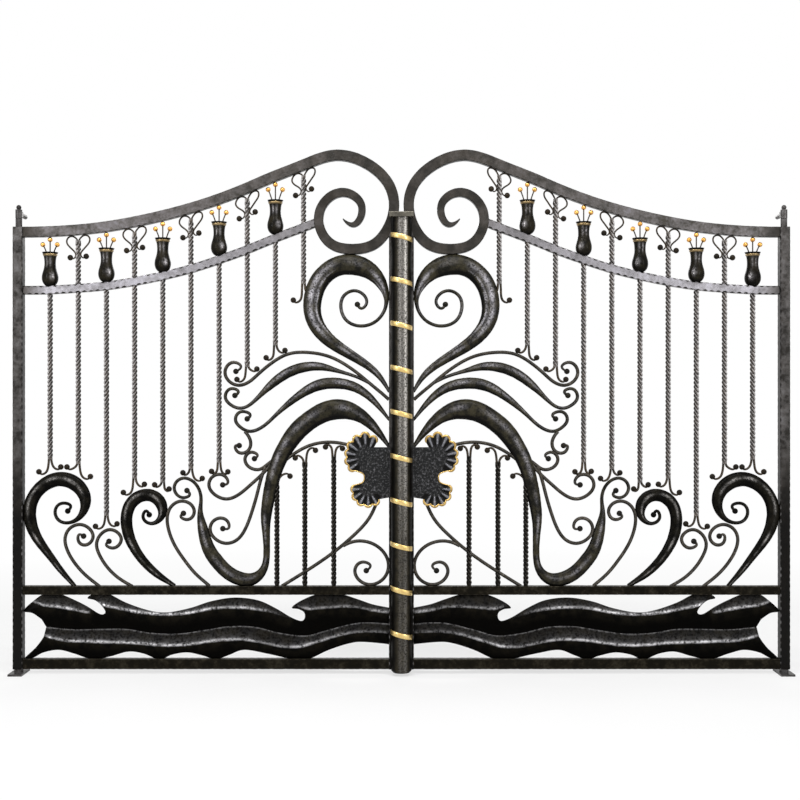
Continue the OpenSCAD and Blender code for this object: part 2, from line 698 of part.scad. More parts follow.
// Scalloped edge round a row of lobes: the arcs meet in the valleys between neighbours
function valley(a, b, radius) =
    (a + b) / 2 + turned(unit(b - a)) * sqrt(pow(radius, 2) - pow(norm(b - a) / 2, 2));
function bearing(v) = atan2(v[1], v[0]);
function scallops(lobes, radius) = [
    for (i = [0:len(lobes) - 1])
        let (spot = lobes[i], last = len(lobes) - 1)
        let (from = i == 0 ? spot - lobes[1] : valley(lobes[i - 1], spot, radius) - spot)
        let (to = i == last ? spot - lobes[last - 1] : valley(spot, lobes[i + 1], radius) - spot)
        let (start = bearing(from), end = bearing(to), stop = end < start ? end : end - 360)
        for (k = [0:lobe_steps])
            let (angle = start + (stop - start) * k / lobe_steps)
            spot + radius * [cos(angle), sin(angle)]
];
function plate_points(rows) = [for (row = rows) [at_x(row[0]), at_z(row[1])]];

module lock_plate_shape() {
    lobe_r = plate_lobe_px * tall;
    edge_x = meet_in + plate_lap;
    notch = plate_points([plate_notch_px])[0];
    polygon(concat(
        [[edge_x, notch[1]], [edge_x, at_z(plate_foot_row_px)]],
        scallops(plate_points(lower_lobes_px), lobe_r),
        plate_points(plate_waist_px),
        scallops(plate_points(upper_lobes_px), lobe_r),
        [notch]
    ));
}

module lock_plate() color(iron) {
    translate([0, -stile_d / 2 - plate_t / 2, 0]) upright(plate_t) lock_plate_shape();
}

// Wave bands: the shared border, then the free edges, in photo pixels
border_px = [
    [48.5, 626.8], [75, 629.3], [102, 628.9], [127.5, 628.9], [153, 632.7], [178.6, 633.5], [204, 630.2],
    [229.6, 626.3], [255, 626.8], [280.6, 632.7], [306, 635.3], [326.5, 630.2], [352, 623.8],
    [370, 622.5], [396, 624.3]
];
upper_wave_px = [
    [396, 609.5], [390.3, 608.5], [372.4, 605], [357, 599.8], [339.3, 594.7], [318.9, 594.7],
    [301, 601.5], [292, 608.2], [299, 609.6], [304.5, 613], [304.8, 618.5], [301, 621.2], [290.8, 617.4],
    [275.5, 608.5], [257.7, 600.8], [234.7, 598.4], [211.7, 602], [191.3, 608.5], [168.4, 612.8],
    [150.5, 611], [127.6, 603.4], [109.7, 594.7], [95.7, 594.7], [89.3, 598.8], [97, 601], [103.3, 606],
    [107.2, 612], [104.6, 614.8], [99.5, 613.6], [89.3, 607.2], [76.5, 600.8], [61, 594.7], [47, 594.7],
    [38.3, 599.5], [26, 611], [35, 613.5], [44, 619.5]
];
lower_wave_px = [
    [46, 636.5], [38.3, 646.7], [25, 659.5], [36, 656.8], [46, 651.8], [61.2, 649.3], [76.5, 653],
    [94.4, 658.4], [112, 655.7], [130, 651], [145.4, 653], [160.7, 658.6], [173.5, 653.9], [188.8, 651.8],
    [204, 654.9], [216.8, 658.4], [229.6, 654.4], [244.9, 649.3], [267.9, 653], [293.4, 658.4],
    [308.7, 658.2], [329, 649.3], [349.5, 642.9], [364.8, 641.6], [396, 644.5]
];

function foot_curve(rows) = curve([for (row = rows) foot_point(row)], steps_slim);
function reversed(rows) = [for (i = [len(rows) - 1:-1:0]) rows[i]];

module panel_field() {
    translate([stile_in, panel_foot]) square([meet_in - stile_in, wave_panel_h]);
}

// Crest line of each wave band, and the blank that falls from it to thin edges
upper_crest_px = [
    [16.3, 616], [41.7, 608.2], [58.9, 604.6], [79.3, 610.2], [101.7, 606], [125.9, 611.6], [148.3, 619],
    [166.3, 621.2], [189.7, 617.8], [213.3, 611], [236.7, 607.9], [259.3, 610.8], [277.9, 617.2],
    [296.3, 614], [321.7, 604.4], [341.9, 604.7], [359.3, 609.6], [374.9, 613.4], [398.9, 617]
];
lower_crest_px = [
    [16.3, 655], [52.7, 638], [81.7, 640], [111.1, 641.6], [146.9, 642], [180.7, 643], [206.9, 639.8],
    [231.7, 636.6], [256.9, 639.2], [295.1, 646], [325.7, 638.4], [358.7, 631.5], [398.9, 634]
];
crest_steps = 2;

module crested(crest_px) {
    half_profile = [[wave_edge_d / 2, wave_fall], [wave_d / 2, 0], [wave_edge_d / 2, -wave_fall]];
    profile = concat(half_profile, [for (spot = reversed(half_profile)) [-spot[0], spot[1]]]);
    loft([
        for (crest = curve([for (row = crest_px) foot_point(row)], crest_steps))
            [for (spot = profile) [crest[0], spot[0], crest[1] + spot[1]]]
    ]);
}

module wave_band(shape, crest_px) {
    intersection() {
        upright(2 * wave_d) intersection() {
            polygon(shape);
            panel_field();
        }
        union() {
            crested(crest_px);
            upright(wave_edge_d) panel_field();
        }
    }
}

module upper_wave() color(iron)
    wave_band(concat(foot_curve(border_px), foot_curve(upper_wave_px)), upper_crest_px);

module lower_wave() color(iron)
    wave_band(concat(reversed(foot_curve(border_px)), foot_curve(lower_wave_px)), lower_crest_px);

// Cover tube in front of both meeting stiles, carried by the right leaf
tube_back = stile_d / 2 + tube_gap;
tube_top_row_px = 219;
tube_top = at_z(tube_top_row_px);
tube_foot = ground_gap - tube_drop;

module half_round(radius) {
    intersection() {
        translate([gate_mid, -tube_back]) circle(r = radius, $fn = 64);
        translate([gate_mid - radius, -tube_back - radius]) square([2 * radius, radius]);
    }
}

module cover_tube() color(iron) {
    length = tube_top - tube_foot;
    radius = tube_dia / 2;
    translate([gate_mid, -tube_back, tube_foot]) rotate([0, 0, 180]) rotate_extrude(angle = 180, $fn = 64)
        polygon([[0, 0], [radius - foot_bevel, 0], [radius, foot_bevel], [radius, length], [0, length]]);
    translate([gate_mid + meeting_gap / 2, -tube_back, ground_gap])
        cube([radius - meeting_gap / 2 - foot_bevel, tube_gap, tube_top - ground_gap]);
}

module tube_cap() color(steel) translate([0, 0, tube_top]) linear_extrude(height = cap_t)
    translate([gate_mid - tube_dia / 2 - cap_lip, -tube_back - tube_dia / 2 - cap_lip])
        square([tube_dia + 2 * cap_lip, tube_dia / 2 + cap_lip]);

first_band_row_px = 238.5;
first_band = at_z(first_band_row_px);
band_count = floor((first_band - tube_foot) / band_pitch) + 1;
module gilt_bands() color(gold) {
    ring_r = tube_dia / 2 + band_t;
    for (i = [0:band_count - 1]) intersection() {
        translate([0, 0, tube_foot]) linear_extrude(height = tube_top - tube_foot) difference() {
            half_round(ring_r);
            half_round(tube_dia / 2 + seat_gap);
        }
        translate([gate_mid, -tube_back - ring_r / 2, first_band - i * band_pitch])
            rotate([0, band_slant, 0]) cube([3 * ring_r, 2 * ring_r, band_h], center = true);
    }
}

module floor_pivot() color(steel) difference() {
    union() {
        translate([-floor_plate_w / 2, -floor_plate_d / 2, 0])
            cube([floor_plate_w, floor_plate_d, floor_plate_t]);
        cylinder(h = ground_gap - bearing_gap, d = boss_dia, $fn = 48);
        cylinder(h = ground_gap + pin_depth, d = pin_dia, $fn = 48);
    }
    for (out = [-1, 1])
        translate([0, out * anchor_pitch / 2, -overrun])
            cylinder(h = floor_plate_t + 2 * overrun, d = anchor_dia, $fn = 32);
}

module top_hinge() color(steel) {
    knuckle_foot = stile_top + knuckle_h + bearing_gap;
    knuckle_top = knuckle_foot + knuckle_h;
    translate([0, 0, knuckle_foot]) cylinder(h = knuckle_h, d = knuckle_dia, $fn = 48);
    translate([0, 0, knuckle_top + hinge_ball_dia / 2 - overrun]) sphere(d = hinge_ball_dia, $fn = 48);
    translate([0, 0, stile_top + knuckle_h - pin_depth])
        cylinder(h = pin_depth + overrun, d = pin_dia, $fn = 48);
    translate([-neck_w / 2, 0, knuckle_foot + knuckle_h / 2 - neck_w / 2]) cube([neck_w, neck_len, neck_w]);
    translate([0, 0, knuckle_foot + knuckle_h / 2]) rotate([-90, 0, 0])
        cylinder(h = shank_len, d = shank_dia, $fn = 48);
}

floor_pivot();  // left_floor_pivot
on_right() floor_pivot();  // right_floor_pivot
top_hinge();  // left_top_hinge
on_right() top_hinge();  // right_top_hinge
hinge_stile();  // left_hinge_stile
meeting_stile();  // left_meeting_stile
bottom_rail();  // left_bottom_rail
waist_rail();  // left_waist_rail
top_rail();  // left_top_rail
frieze_rail();  // left_frieze_rail
picket_bars();  // left_picket_bars
grille_bars();  // left_grille_bars
tulip_cups();  // left_tulip_cups
gilt_stamens();  // left_gilt_stamens
heart_scroll();  // left_heart_scroll
plumes();  // left_plumes
swan_arm();  // left_swan_arm
wave_hooks();  // left_wave_hooks
slim_scrolls();  // left_slim_scrolls
grille_scrolls();  // left_grille_scrolls
lock_plate();  // left_lock_plate
upper_wave();  // left_upper_wave
lower_wave();  // left_lower_wave
on_right() hinge_stile();  // right_hinge_stile
on_right() meeting_stile();  // right_meeting_stile
on_right() bottom_rail();  // right_bottom_rail
on_right() waist_rail();  // right_waist_rail
on_right() top_rail();  // right_top_rail
on_right() frieze_rail();  // right_frieze_rail
on_right() picket_bars();  // right_picket_bars
on_right() grille_bars();  // right_grille_bars
on_right() tulip_cups();  // right_tulip_cups
on_right() gilt_stamens();  // right_gilt_stamens
on_right() heart_scroll();  // right_heart_scroll
on_right() plumes();  // right_plumes
on_right() swan_arm();  // right_swan_arm
on_right() wave_hooks();  // right_wave_hooks
on_right() slim_scrolls();  // right_slim_scrolls
on_right() grille_scrolls();  // right_grille_scrolls
on_right() lock_plate();  // right_lock_plate
on_right() upper_wave();  // right_upper_wave
on_right() lower_wave();  // right_lower_wave
cover_tube();
tube_cap();
gilt_bands();
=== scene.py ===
"""Looks of the wrought iron driveway gate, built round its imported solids.

Lengths in the tables and classes are millimetres of the left leaf, whose hinge axis stands at x = 0.
The right leaf is the same leaf, mirrored about the middle of the gate.
"""

import logging
import math
from collections.abc import Callable, Sequence
from dataclasses import dataclass, field
from enum import Enum
from functools import cache, cached_property

import bmesh
import bpy
import numpy as np
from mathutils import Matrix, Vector, noise
from mathutils.geometry import delaunay_2d_cdt


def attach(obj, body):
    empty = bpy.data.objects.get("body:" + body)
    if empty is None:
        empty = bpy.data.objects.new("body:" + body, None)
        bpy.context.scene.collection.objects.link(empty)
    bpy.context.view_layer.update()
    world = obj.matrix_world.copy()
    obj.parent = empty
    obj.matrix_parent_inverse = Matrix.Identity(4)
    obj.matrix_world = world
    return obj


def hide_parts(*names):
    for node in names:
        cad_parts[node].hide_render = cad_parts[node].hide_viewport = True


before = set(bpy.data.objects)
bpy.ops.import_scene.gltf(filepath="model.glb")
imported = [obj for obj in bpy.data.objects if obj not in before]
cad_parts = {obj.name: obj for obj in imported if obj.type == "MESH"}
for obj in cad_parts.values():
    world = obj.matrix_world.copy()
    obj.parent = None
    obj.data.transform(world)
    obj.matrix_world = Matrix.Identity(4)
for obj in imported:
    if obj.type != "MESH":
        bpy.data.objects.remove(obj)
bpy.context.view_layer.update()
LOG = logging.getLogger("driveway_gate")
MM = 0.001
CURVE_STEPS = 12
TIP_SHARES = (0.95, 0.8, 0.6)

Array = np.ndarray
Pair = tuple[float, float]
Triple = tuple[float, float, float]
Colour = Triple
Rows = Sequence[tuple[float, ...]]
Surface = Callable[[Array], Array]
Socket = bpy.types.NodeSocket

# Centre lines in photo pixels: across, down and, where a third number follows, the width.
TOP_RAIL_PX: Rows = [
    (20, 232.2, 10.4), (52, 231.7, 10.4), (79.7, 230, 10.4), (107.6, 226.9, 10.4), (136, 222, 10.4),
    (164.5, 215.7, 10.4), (192.4, 208.2, 10.4), (220, 199.2, 10.5), (248, 188.2, 10.6),
    (268.6, 179.2, 10.6), (302.7, 165.6, 10.7), (336.6, 155.4, 10.7), (370.7, 166.3, 10.7),
    (388.8, 185.5, 10.6), (393.6, 204, 10.5), (387.1, 229.2, 10.5), (374, 244.2, 10.5),
    (351.3, 249.3, 10.4), (331.2, 244, 10), (319.1, 223.3, 9.6), (322.2, 206, 9.2), (342.7, 192.6, 8.8),
    (361.7, 207.2, 7.6), (354.4, 224.5, 5.6), (343, 219.2, 1),
]
FRIEZE_RAIL_PX: Rows = [
    (20, 290.2, 8.6), (52, 290, 8.6), (80, 288.4, 8.6), (107.6, 286, 8.6), (136, 281.6, 8.6),
    (164.5, 275.8, 8.6), (192.4, 268.8, 8.6), (220, 259.8, 8.6), (248, 249.6, 8.6), (276.4, 238, 8.6),
    (302.7, 228, 8.6), (322, 220.4, 8.6),
]
HEART_PX: Rows = [
    (394, 402, 2.6), (387.6, 389.5, 3.4), (378.3, 375.6, 6), (361, 361.4, 8.8), (339.6, 347.9, 11.8),
    (325.2, 336.4, 14.4), (313.7, 317.5, 17), (313.6, 295.3, 18.8), (321.3, 278.4, 19.2),
    (336.7, 266.6, 20), (352.1, 264.6, 21), (370.8, 271.8, 17), (382.1, 285.4, 10.6), (386, 298.8, 5.2),
    (383, 312.5, 3.6), (374.5, 322, 3.5), (360.8, 326, 3.5), (347, 321, 3.5), (341, 309, 3.5),
    (343.5, 296.2, 3.5), (353.9, 290.7, 3.4), (364.4, 296, 3.3), (366.2, 303.6, 3.2), (361.6, 308.4, 3.1),
    (357.2, 304.4, 3),
]
MIDDLE_PLUME_PX: Rows = [
    (371.2, 384.8, 2.6), (355.5, 376.6, 3.4), (336, 370.4, 4.8), (322, 366.8, 8), (307, 366.8, 10),
    (290, 372, 10.4), (272, 384.5, 8.4), (262.6, 393.4, 5.5), (253.5, 402.3, 3.8), (247, 406.8, 3.5),
    (240, 408.2, 3.5), (231.5, 404.8, 3.5), (226.2, 397.8, 3.5), (228.2, 390.8, 3.4), (233.8, 388.6, 3.3),
    (239, 391.4, 3.2), (235.6, 395.5, 3),
]
LOWER_PLUME_PX: Rows = [
    (395, 428, 2), (388, 418.8, 3), (372.4, 400, 6.6), (355, 387.4, 9.8), (337.3, 383.3, 11.4),
    (320, 384.8, 11.4), (303, 393, 9), (288, 404.4, 6.2), (275.5, 415.8, 4), (261.5, 427.8, 3.6),
    (250, 431.3, 3.5), (240.3, 426.5, 3.5), (236.2, 420, 3.5), (238.5, 413.6, 3.4), (244.6, 411.6, 3.3),
    (250.8, 414.8, 3.2), (247.8, 418.9, 3),
]
SWAN_ARM_PX: Rows = [
    (396, 458, 3), (388.4, 446.4, 3.6), (375.6, 429.4, 8.6), (357.8, 414.4, 15), (342, 409.4, 20),
    (326.4, 411.4, 20.6), (312, 419, 19.4), (298.8, 430, 19), (287.4, 445.2, 17.4), (279.6, 459.6, 15.8),
    (273.4, 478.3, 14.4), (268.6, 501, 12.8), (266.4, 519, 10.4), (266.8, 537, 7.6), (267.1, 554, 6.8),
    (265.4, 566, 7.4), (260.4, 574.4, 9.8), (251, 579.6, 13), (240.4, 578.6, 14.2), (227.8, 571.8, 14.2),
    (217.2, 560.6, 14.2), (211, 551.6, 13.6), (206.2, 539, 12.2), (203, 525, 9.6), (201.2, 511, 5.2),
    (202, 499, 3.6), (199, 487.4, 3.4), (192.2, 480.2, 3.4), (184.5, 478.2, 3.4), (177.5, 482, 3.4),
    (175.4, 488.6, 3.4), (178.6, 495.2, 3.3), (184.8, 497.7, 3.2), (190.6, 495.2, 3.1), (188, 490.6, 3),
]
LARGE_HOOK_PX: Rows = [
    (83, 594, 4), (76.2, 585.7, 4.2), (64.6, 572.4, 6), (50.8, 554.3, 8), (39, 537.5, 10.6),
    (32.8, 521.5, 12.6), (32.6, 505.5, 13.2), (40.2, 490.6, 13.2), (50.4, 482.4, 14), (61.4, 479.2, 14.6),
    (73.2, 481.6, 15), (82.2, 488.6, 14), (87.2, 500, 11.6), (85.4, 511, 8.2), (79.2, 519.2, 5),
    (70.5, 522.8, 3.6), (62, 521.2, 3.4), (57.2, 513.4, 3.4), (59, 506.4, 3.3), (65.2, 503.2, 3.3),
    (72.4, 505.6, 3.2), (69.7, 511.1, 3),
]
SMALL_HOOK_PX: Rows = [
    (183, 591, 4), (175.4, 585.7, 4.2), (161, 576.2, 7), (146, 562.4, 9), (135, 546.6, 10.4),
    (129.2, 531.4, 11.6), (128, 518, 12), (131, 506.2, 12.4), (136.9, 499, 12.6), (145.6, 495.2, 12.6),
    (155.2, 496.6, 12.6), (161.8, 503, 12), (163.8, 511.6, 9.6), (160.4, 519.8, 6), (153, 523.6, 3.8),
    (146.4, 521, 3.4), (144.4, 515.8, 3.3), (147, 511, 3.2), (150.6, 514.8, 3),
]
SLIM_SCROLLS_PX: dict[str, Rows] = {
    "whisker": [
        (394, 405.5), (389.4, 400.6), (371.2, 384.8), (360.3, 375.6), (345.5, 364.8), (331.2, 357.3),
        (307.5, 352.4), (288, 354.2), (273, 362.4), (258.5, 374.4), (249.5, 382), (239.5, 385.3),
        (230.2, 381.5), (225.8, 372.7), (229, 364.8), (235.5, 362.4), (241.5, 366), (236.6, 371.4),
    ],
    "upper_side_curl": [
        (245.4, 431.6), (249.2, 436.4), (251.3, 443), (249.2, 450), (243.2, 453.2), (237.4, 450.8),
        (236, 446), (239.9, 445.6),
    ],
    "lower_side_curl": [
        (276, 458.5), (267.3, 465), (260.2, 469.4), (253, 468.8), (247, 464.1), (245.6, 458.8),
        (248.2, 453.8), (253.4, 452.3), (258, 455.2), (255, 458.7),
    ],
    "upper_side_tail": [
        (272, 463.5), (262.5, 474.4), (251, 485), (240.8, 493.6), (228, 499), (216.4, 495.2),
        (209.9, 486), (212.4, 477.8), (219.8, 474.4), (226.8, 477.4), (228.6, 482.8), (223.5, 484.9),
    ],
    "lower_side_tail": [
        (266, 466.5), (261.4, 479.5), (257.4, 495), (251.6, 514.5), (245.4, 530), (238, 539.6),
        (228, 543.4), (217.9, 540.2), (211.2, 531), (212.7, 523), (220.4, 518.2), (228.4, 521.6),
        (229.6, 527.8), (223.6, 528.7),
    ],
    "first_water": [
        (106, 590), (100.4, 585.7), (87, 574.8), (76, 562.2), (68.6, 548.4), (67, 539), (71.2, 529),
        (81.2, 524.6), (91.2, 528.8), (94.8, 536.5), (91.2, 543.4), (85, 545), (80.2, 540.8),
        (80.8, 534.8), (85.4, 536.2),
    ],
    "second_water": [
        (140, 589.6), (132.6, 585.7), (118.8, 577), (108.6, 566.8), (101.4, 555.4), (98.3, 544),
        (101.8, 535.2), (110.6, 529.8), (119.4, 532.8), (122.8, 539.2), (119.3, 546.2), (113, 548),
        (107.8, 544.8), (110.6, 541.4),
    ],
    "third_water": [
        (216, 591.6), (210, 585.7), (198, 575.2), (185.4, 560), (175.5, 544.6), (169.6, 528.9),
        (168.6, 516), (171.8, 507.4), (180.8, 501.4), (190.6, 503.4), (195.2, 510.8), (193, 517.4),
        (187.2, 519.6), (181.8, 516.4), (184.5, 513.4),
    ],
}
ARCH_PX: Rows = [(286, 460), (294.5, 453.7), (310, 445.5), (329, 442.2), (348, 445), (360, 450)]
DIAGONAL_PX: Rows = [
    (273, 592), (283, 585.7), (338.8, 548.2), (354.8, 534.2), (368.3, 519), (375.3, 505), (378, 497),
]
GRILLE_CURL_PX: Rows = [
    (343, 546), (359.6, 541), (377.3, 546.6), (387.8, 562.4), (385, 576.2), (371.4, 584.6), (359, 580.2),
    (354.8, 569.6), (361.8, 562.2), (370, 565.4), (366, 570.7),
]
# Picket bars: row where the twist ends, then the two ball ends of the split foot.
BAR_FEET_PX: list[tuple[float, Pair, Pair]] = [
    (459.4, (41.1, 471.8), (62.8, 467)), (464, (68.9, 467), (92.2, 476.6)),
    (515.8, (97.2, 526.4), (118.6, 523.9)), (478.5, (124.9, 492.5), (145.8, 484.3)),
    (482.4, (155.9, 484.8), (170.3, 489)), (469, (184, 472.8), (203.2, 478.5)),
    (462.3, (212.4, 471.4), (228.6, 471.8)), (366.8, (237.6, 379.4), (257.4, 369)),
    (345.3, (266.6, 357.7), (285.3, 350.4)), (284, (293.6, 300.1), (310, 290.4)),
]
# Heart at the head of a long bar: across from the bar, and down from the middle of the top rail.
HEART_LOBE_PX: Rows = [
    (0, 12.8), (2.4, 8), (6.4, 5.8), (10.5, 7.6), (11.4, 11.4), (8.4, 16.4), (4.1, 21), (2.4, 24.6),
    (4.6, 28.2), (7.9, 27),
]
GRILLE_BARS_PX: list[tuple[float, float, Rows]] = [
    (277.3, 482, [(290.3, 476.2)]), (305, 462.3, [(295.5, 458), (315.6, 450.4)]),
    (333.7, 456.5, [(325.5, 447), (342.4, 448.5)]),
]
UPPER_LOBES_PX: Rows = [
    (353, 466.5), (350, 460.5), (350, 453.3), (352, 446), (357.5, 440), (365, 437), (372.5, 440.5),
]
LOWER_LOBES_PX: Rows = [(374.5, 500), (368, 501.8), (361.5, 500.3), (357, 495.5), (356, 489)]
PLATE_WAIST_PX: Rows = [(363, 481.5), (363.4, 474)]
BORDER_PX: Rows = [
    (48.5, 626.8), (75, 629.3), (102, 628.9), (127.5, 628.9), (153, 632.7), (178.6, 633.5), (204, 630.2),
    (229.6, 626.3), (255, 626.8), (280.6, 632.7), (306, 635.3), (326.5, 630.2), (352, 623.8),
    (370, 622.5), (396, 624.3),
]
UPPER_WAVE_PX: Rows = [
    (396, 609.5), (390.3, 608.5), (372.4, 605), (357, 599.8), (339.3, 594.7), (318.9, 594.7),
    (301, 601.5), (292, 608.2), (299, 609.6), (304.5, 613), (304.8, 618.5), (301, 621.2), (290.8, 617.4),
    (275.5, 608.5), (257.7, 600.8), (234.7, 598.4), (211.7, 602), (191.3, 608.5), (168.4, 612.8),
    (150.5, 611), (127.6, 603.4), (109.7, 594.7), (95.7, 594.7), (89.3, 598.8), (97, 601), (103.3, 606),
    (107.2, 612), (104.6, 614.8), (99.5, 613.6), (89.3, 607.2), (76.5, 600.8), (61, 594.7), (47, 594.7),
    (38.3, 599.5), (26, 611), (35, 613.5), (44, 619.5),
]
LOWER_WAVE_PX: Rows = [
    (46, 636.5), (38.3, 646.7), (25, 659.5), (36, 656.8), (46, 651.8), (61.2, 649.3), (76.5, 653),
    (94.4, 658.4), (112, 655.7), (130, 651), (145.4, 653), (160.7, 658.6), (173.5, 653.9), (188.8, 651.8),
    (204, 654.9), (216.8, 658.4), (229.6, 654.4), (244.9, 649.3), (267.9, 653), (293.4, 658.4),
    (308.7, 658.2), (329, 649.3), (349.5, 642.9), (364.8, 641.6), (396, 644.5),
]
UPPER_CREST_PX: Rows = [
    (16.3, 616), (41.7, 608.2), (58.9, 604.6), (79.3, 610.2), (101.7, 606), (125.9, 611.6), (148.3, 619),
    (166.3, 621.2), (189.7, 617.8), (213.3, 611), (236.7, 607.9), (259.3, 610.8), (277.9, 617.2),
    (296.3, 614), (321.7, 604.4), (341.9, 604.7), (359.3, 609.6), (374.9, 613.4), (398.9, 617),
]
LOWER_CREST_PX: Rows = [
    (16.3, 655), (52.7, 638), (81.7, 640), (111.1, 641.6), (146.9, 642), (180.7, 643), (206.9, 639.8),
    (231.7, 636.6), (256.9, 639.2), (295.1, 646), (325.7, 638.4), (358.7, 631.5), (398.9, 634),
]
# Lines of the waves' painted highlights: column, row, strength.
UPPER_GLINT_PX: Rows = [
    (24, 598, 0.03), (36, 602, 0.15), (48, 605.5, 0.45), (60, 606.5, 0.7), (70, 608, 0.95),
    (80, 610, 0.8), (89, 612, 0.4), (93, 612.5, 0), (97, 602.5, 0), (101, 603.3, 0.45), (110, 606, 0.85),
    (120, 608, 0.7), (130, 610, 0.6), (140, 612, 0.75), (152, 613.5, 0.6), (165, 614.5, 0.75),
    (180, 614, 0.7), (192, 612.5, 0.6), (202, 610.5, 0.7), (212, 608.5, 0.75), (225, 607.3, 0.65),
    (245, 607.3, 0.65), (258, 609, 0.45), (270, 611, 0.15), (282, 615, 0), (291, 618, 0), (297, 606, 0),
    (303, 607.5, 0.35), (310, 608.8, 0.5), (325, 607.5, 0.3), (345, 606.3, 0.25), (358, 606.8, 0.25),
    (370, 609.8, 0.35), (382, 611.3, 0.45), (396, 613, 0.5),
]
LOWER_GLINT_PX: Rows = [
    (24, 650, 0), (44, 634, 0.3), (60, 638, 0.7), (70, 639.8, 0.75), (90, 640.3, 0.85), (108, 641, 0.9),
    (120, 641.2, 0.75), (140, 642, 0.75), (155, 643.5, 0.85), (170, 644.2, 0.85), (185, 643.7, 0.75),
    (198, 642.3, 0.7), (210, 640.2, 0.7), (222, 639, 0.75), (240, 638.2, 0.7), (250, 639, 0.6),
    (262, 641.2, 0.35), (275, 644, 0.3), (285, 645.8, 0.4), (295, 645.8, 0.5), (303, 645, 0.75),
    (310, 643, 0.65), (320, 640, 0.6), (330, 637, 0.55), (340, 634, 0.3), (352, 631.7, 0.2),
    (365, 630.6, 0.15), (380, 631, 0.12), (396, 633, 0.12),
]


class Side(Enum):
    """Leaf of the gate, as seen from the front."""

    LEFT = "left"
    RIGHT = "right"

    @property
    def body(self) -> str:
        """Name of the leaf's moving body."""
        return f"{self.value}_leaf"


@dataclass(frozen=True)
class GateSizes:
    """Main sizes of the gate and the scale from photo pixels to the leaf."""

    stile_w: float = 40.0
    stile_in: float = 20.0
    meet_in: float = 1487.0
    ground_gap: float = 20.0
    panel_foot: float = 61.0
    panel_top: float = 318.0
    waist_top: float = 353.0
    stile_top: float = 1793.0
    span: float = 3074.0
    rail_d: float = 32.0
    bar_w: float = 15.0
    slim_d: float = 14.0
    slim_w_px: float = 3.5
    ball_px: float = 2.9
    stile_px: float = 26.1
    meet_px: float = 388.5
    waist_row_px: float = 585.7
    top_row_px: float = 227.2
    panel_top_row_px: float = 595.2
    panel_foot_row_px: float = 657.6

    @property
    def wide(self) -> float:
        """Millimetres to a pixel across the leaf."""
        return (self.meet_in - self.stile_in) / (self.meet_px - self.stile_px)

    @property
    def tall(self) -> float:
        """Millimetres to a pixel up the leaf, above the waist rail."""
        return (self.stile_top - self.waist_top) / (self.waist_row_px - self.top_row_px)

    @property
    def ball_r(self) -> float:
        """Radius of a forged ball end."""
        return self.ball_px * self.tall

    def x(self, px: float | Array) -> float | Array:
        """Place across the leaf of a pixel column."""
        return self.stile_in + (px - self.stile_px) * self.wide

    def z(self, row: float | Array) -> float | Array:
        """Height of a pixel row above the waist rail."""
        return self.waist_top + (self.waist_row_px - row) * self.tall

    def foot_z(self, row: float | Array) -> float | Array:
        """Height of a pixel row in the wave panel."""
        scale = (self.panel_top - self.panel_foot) / (self.panel_foot_row_px - self.panel_top_row_px)
        return self.panel_foot + (self.panel_foot_row_px - row) * scale

    def stations(self, rows: Rows, width_px: float | None = None) -> Array:
        """Turn pixel rows into stations of x, z and half width.

        Args:
            rows: pixel rows, with their own width where none is given.
            width_px: one width for all rows.

        Returns:
            Array of stations in millimetres.
        """
        table = np.array(rows, float)
        widths = table[:, 2] if width_px is None else np.full(len(table), width_px)
        return np.column_stack([self.x(table[:, 0]), self.z(table[:, 1]), widths * self.tall / 2])

    def foot_points(self, rows: Rows) -> Array:
        """Points of the wave panel for pixel rows."""
        table = np.array(rows, float)
        return np.column_stack([self.x(table[:, 0]), self.foot_z(table[:, 1])])


SIZES = GateSizes()


def smooth_rows(rows: Array, steps: int) -> Array:
    """Lay a smooth curve through rows of any length.

    Args:
        rows: rows that the curve passes.
        steps: parts between two rows.

    Returns:
        Rows of the finer curve.
    """
    padded = np.vstack([rows[:1], rows, rows[-1:]])
    a, b, c, d = (part[:, None, :] for part in (padded[:-3], padded[1:-2], padded[2:-1], padded[3:]))
    t = (np.arange(steps) / steps)[None, :, None]
    bend = b + (c - a) * t / 2 + (2 * a - 5 * b + 4 * c - d) * t**2 / 2 + (3 * b - a - 3 * c + d) * t**3 / 2
    return np.vstack([bend.reshape(-1, rows.shape[1]), rows[-1:]])


def run_lengths(rows: Array) -> Array:
    """Length along a line up to each of its rows."""
    return np.concatenate([[0.0], np.cumsum(np.linalg.norm(np.diff(rows[:, :2], axis=0), axis=1))])


def fair_rows(rows: Array, steps: int) -> Array:
    """Lay the curve of a bent batten through rows: its bend changes evenly from row to row.

    Args:
        rows: rows that the curve passes.
        steps: parts between two rows.

    Returns:
        Rows of the finer curve.
    """
    run, last = run_lengths(rows), len(rows) - 1
    gap = np.diff(run)
    system, target = np.eye(last + 1), np.zeros_like(rows)
    system[0, 1] = system[last, last - 1] = -1
    for k in range(1, last):
        system[k, k - 1:k + 2] = gap[k - 1], 2 * (gap[k - 1] + gap[k]), gap[k]
        target[k] = 6 * ((rows[k + 1] - rows[k]) / gap[k] - (rows[k] - rows[k - 1]) / gap[k - 1])
    bend = np.linalg.solve(system, target)
    at = np.interp(np.arange(last * steps + 1) / steps, np.arange(last + 1), run)
    k = np.clip(np.searchsorted(run, at, side="right") - 1, 0, last - 1)
    reach = gap[k][:, None]
    b = (at - run[k])[:, None] / reach
    a = 1 - b
    return a * rows[k] + b * rows[k + 1] + ((a**3 - a) * bend[k] + (b**3 - b) * bend[k + 1]) * reach**2 / 6


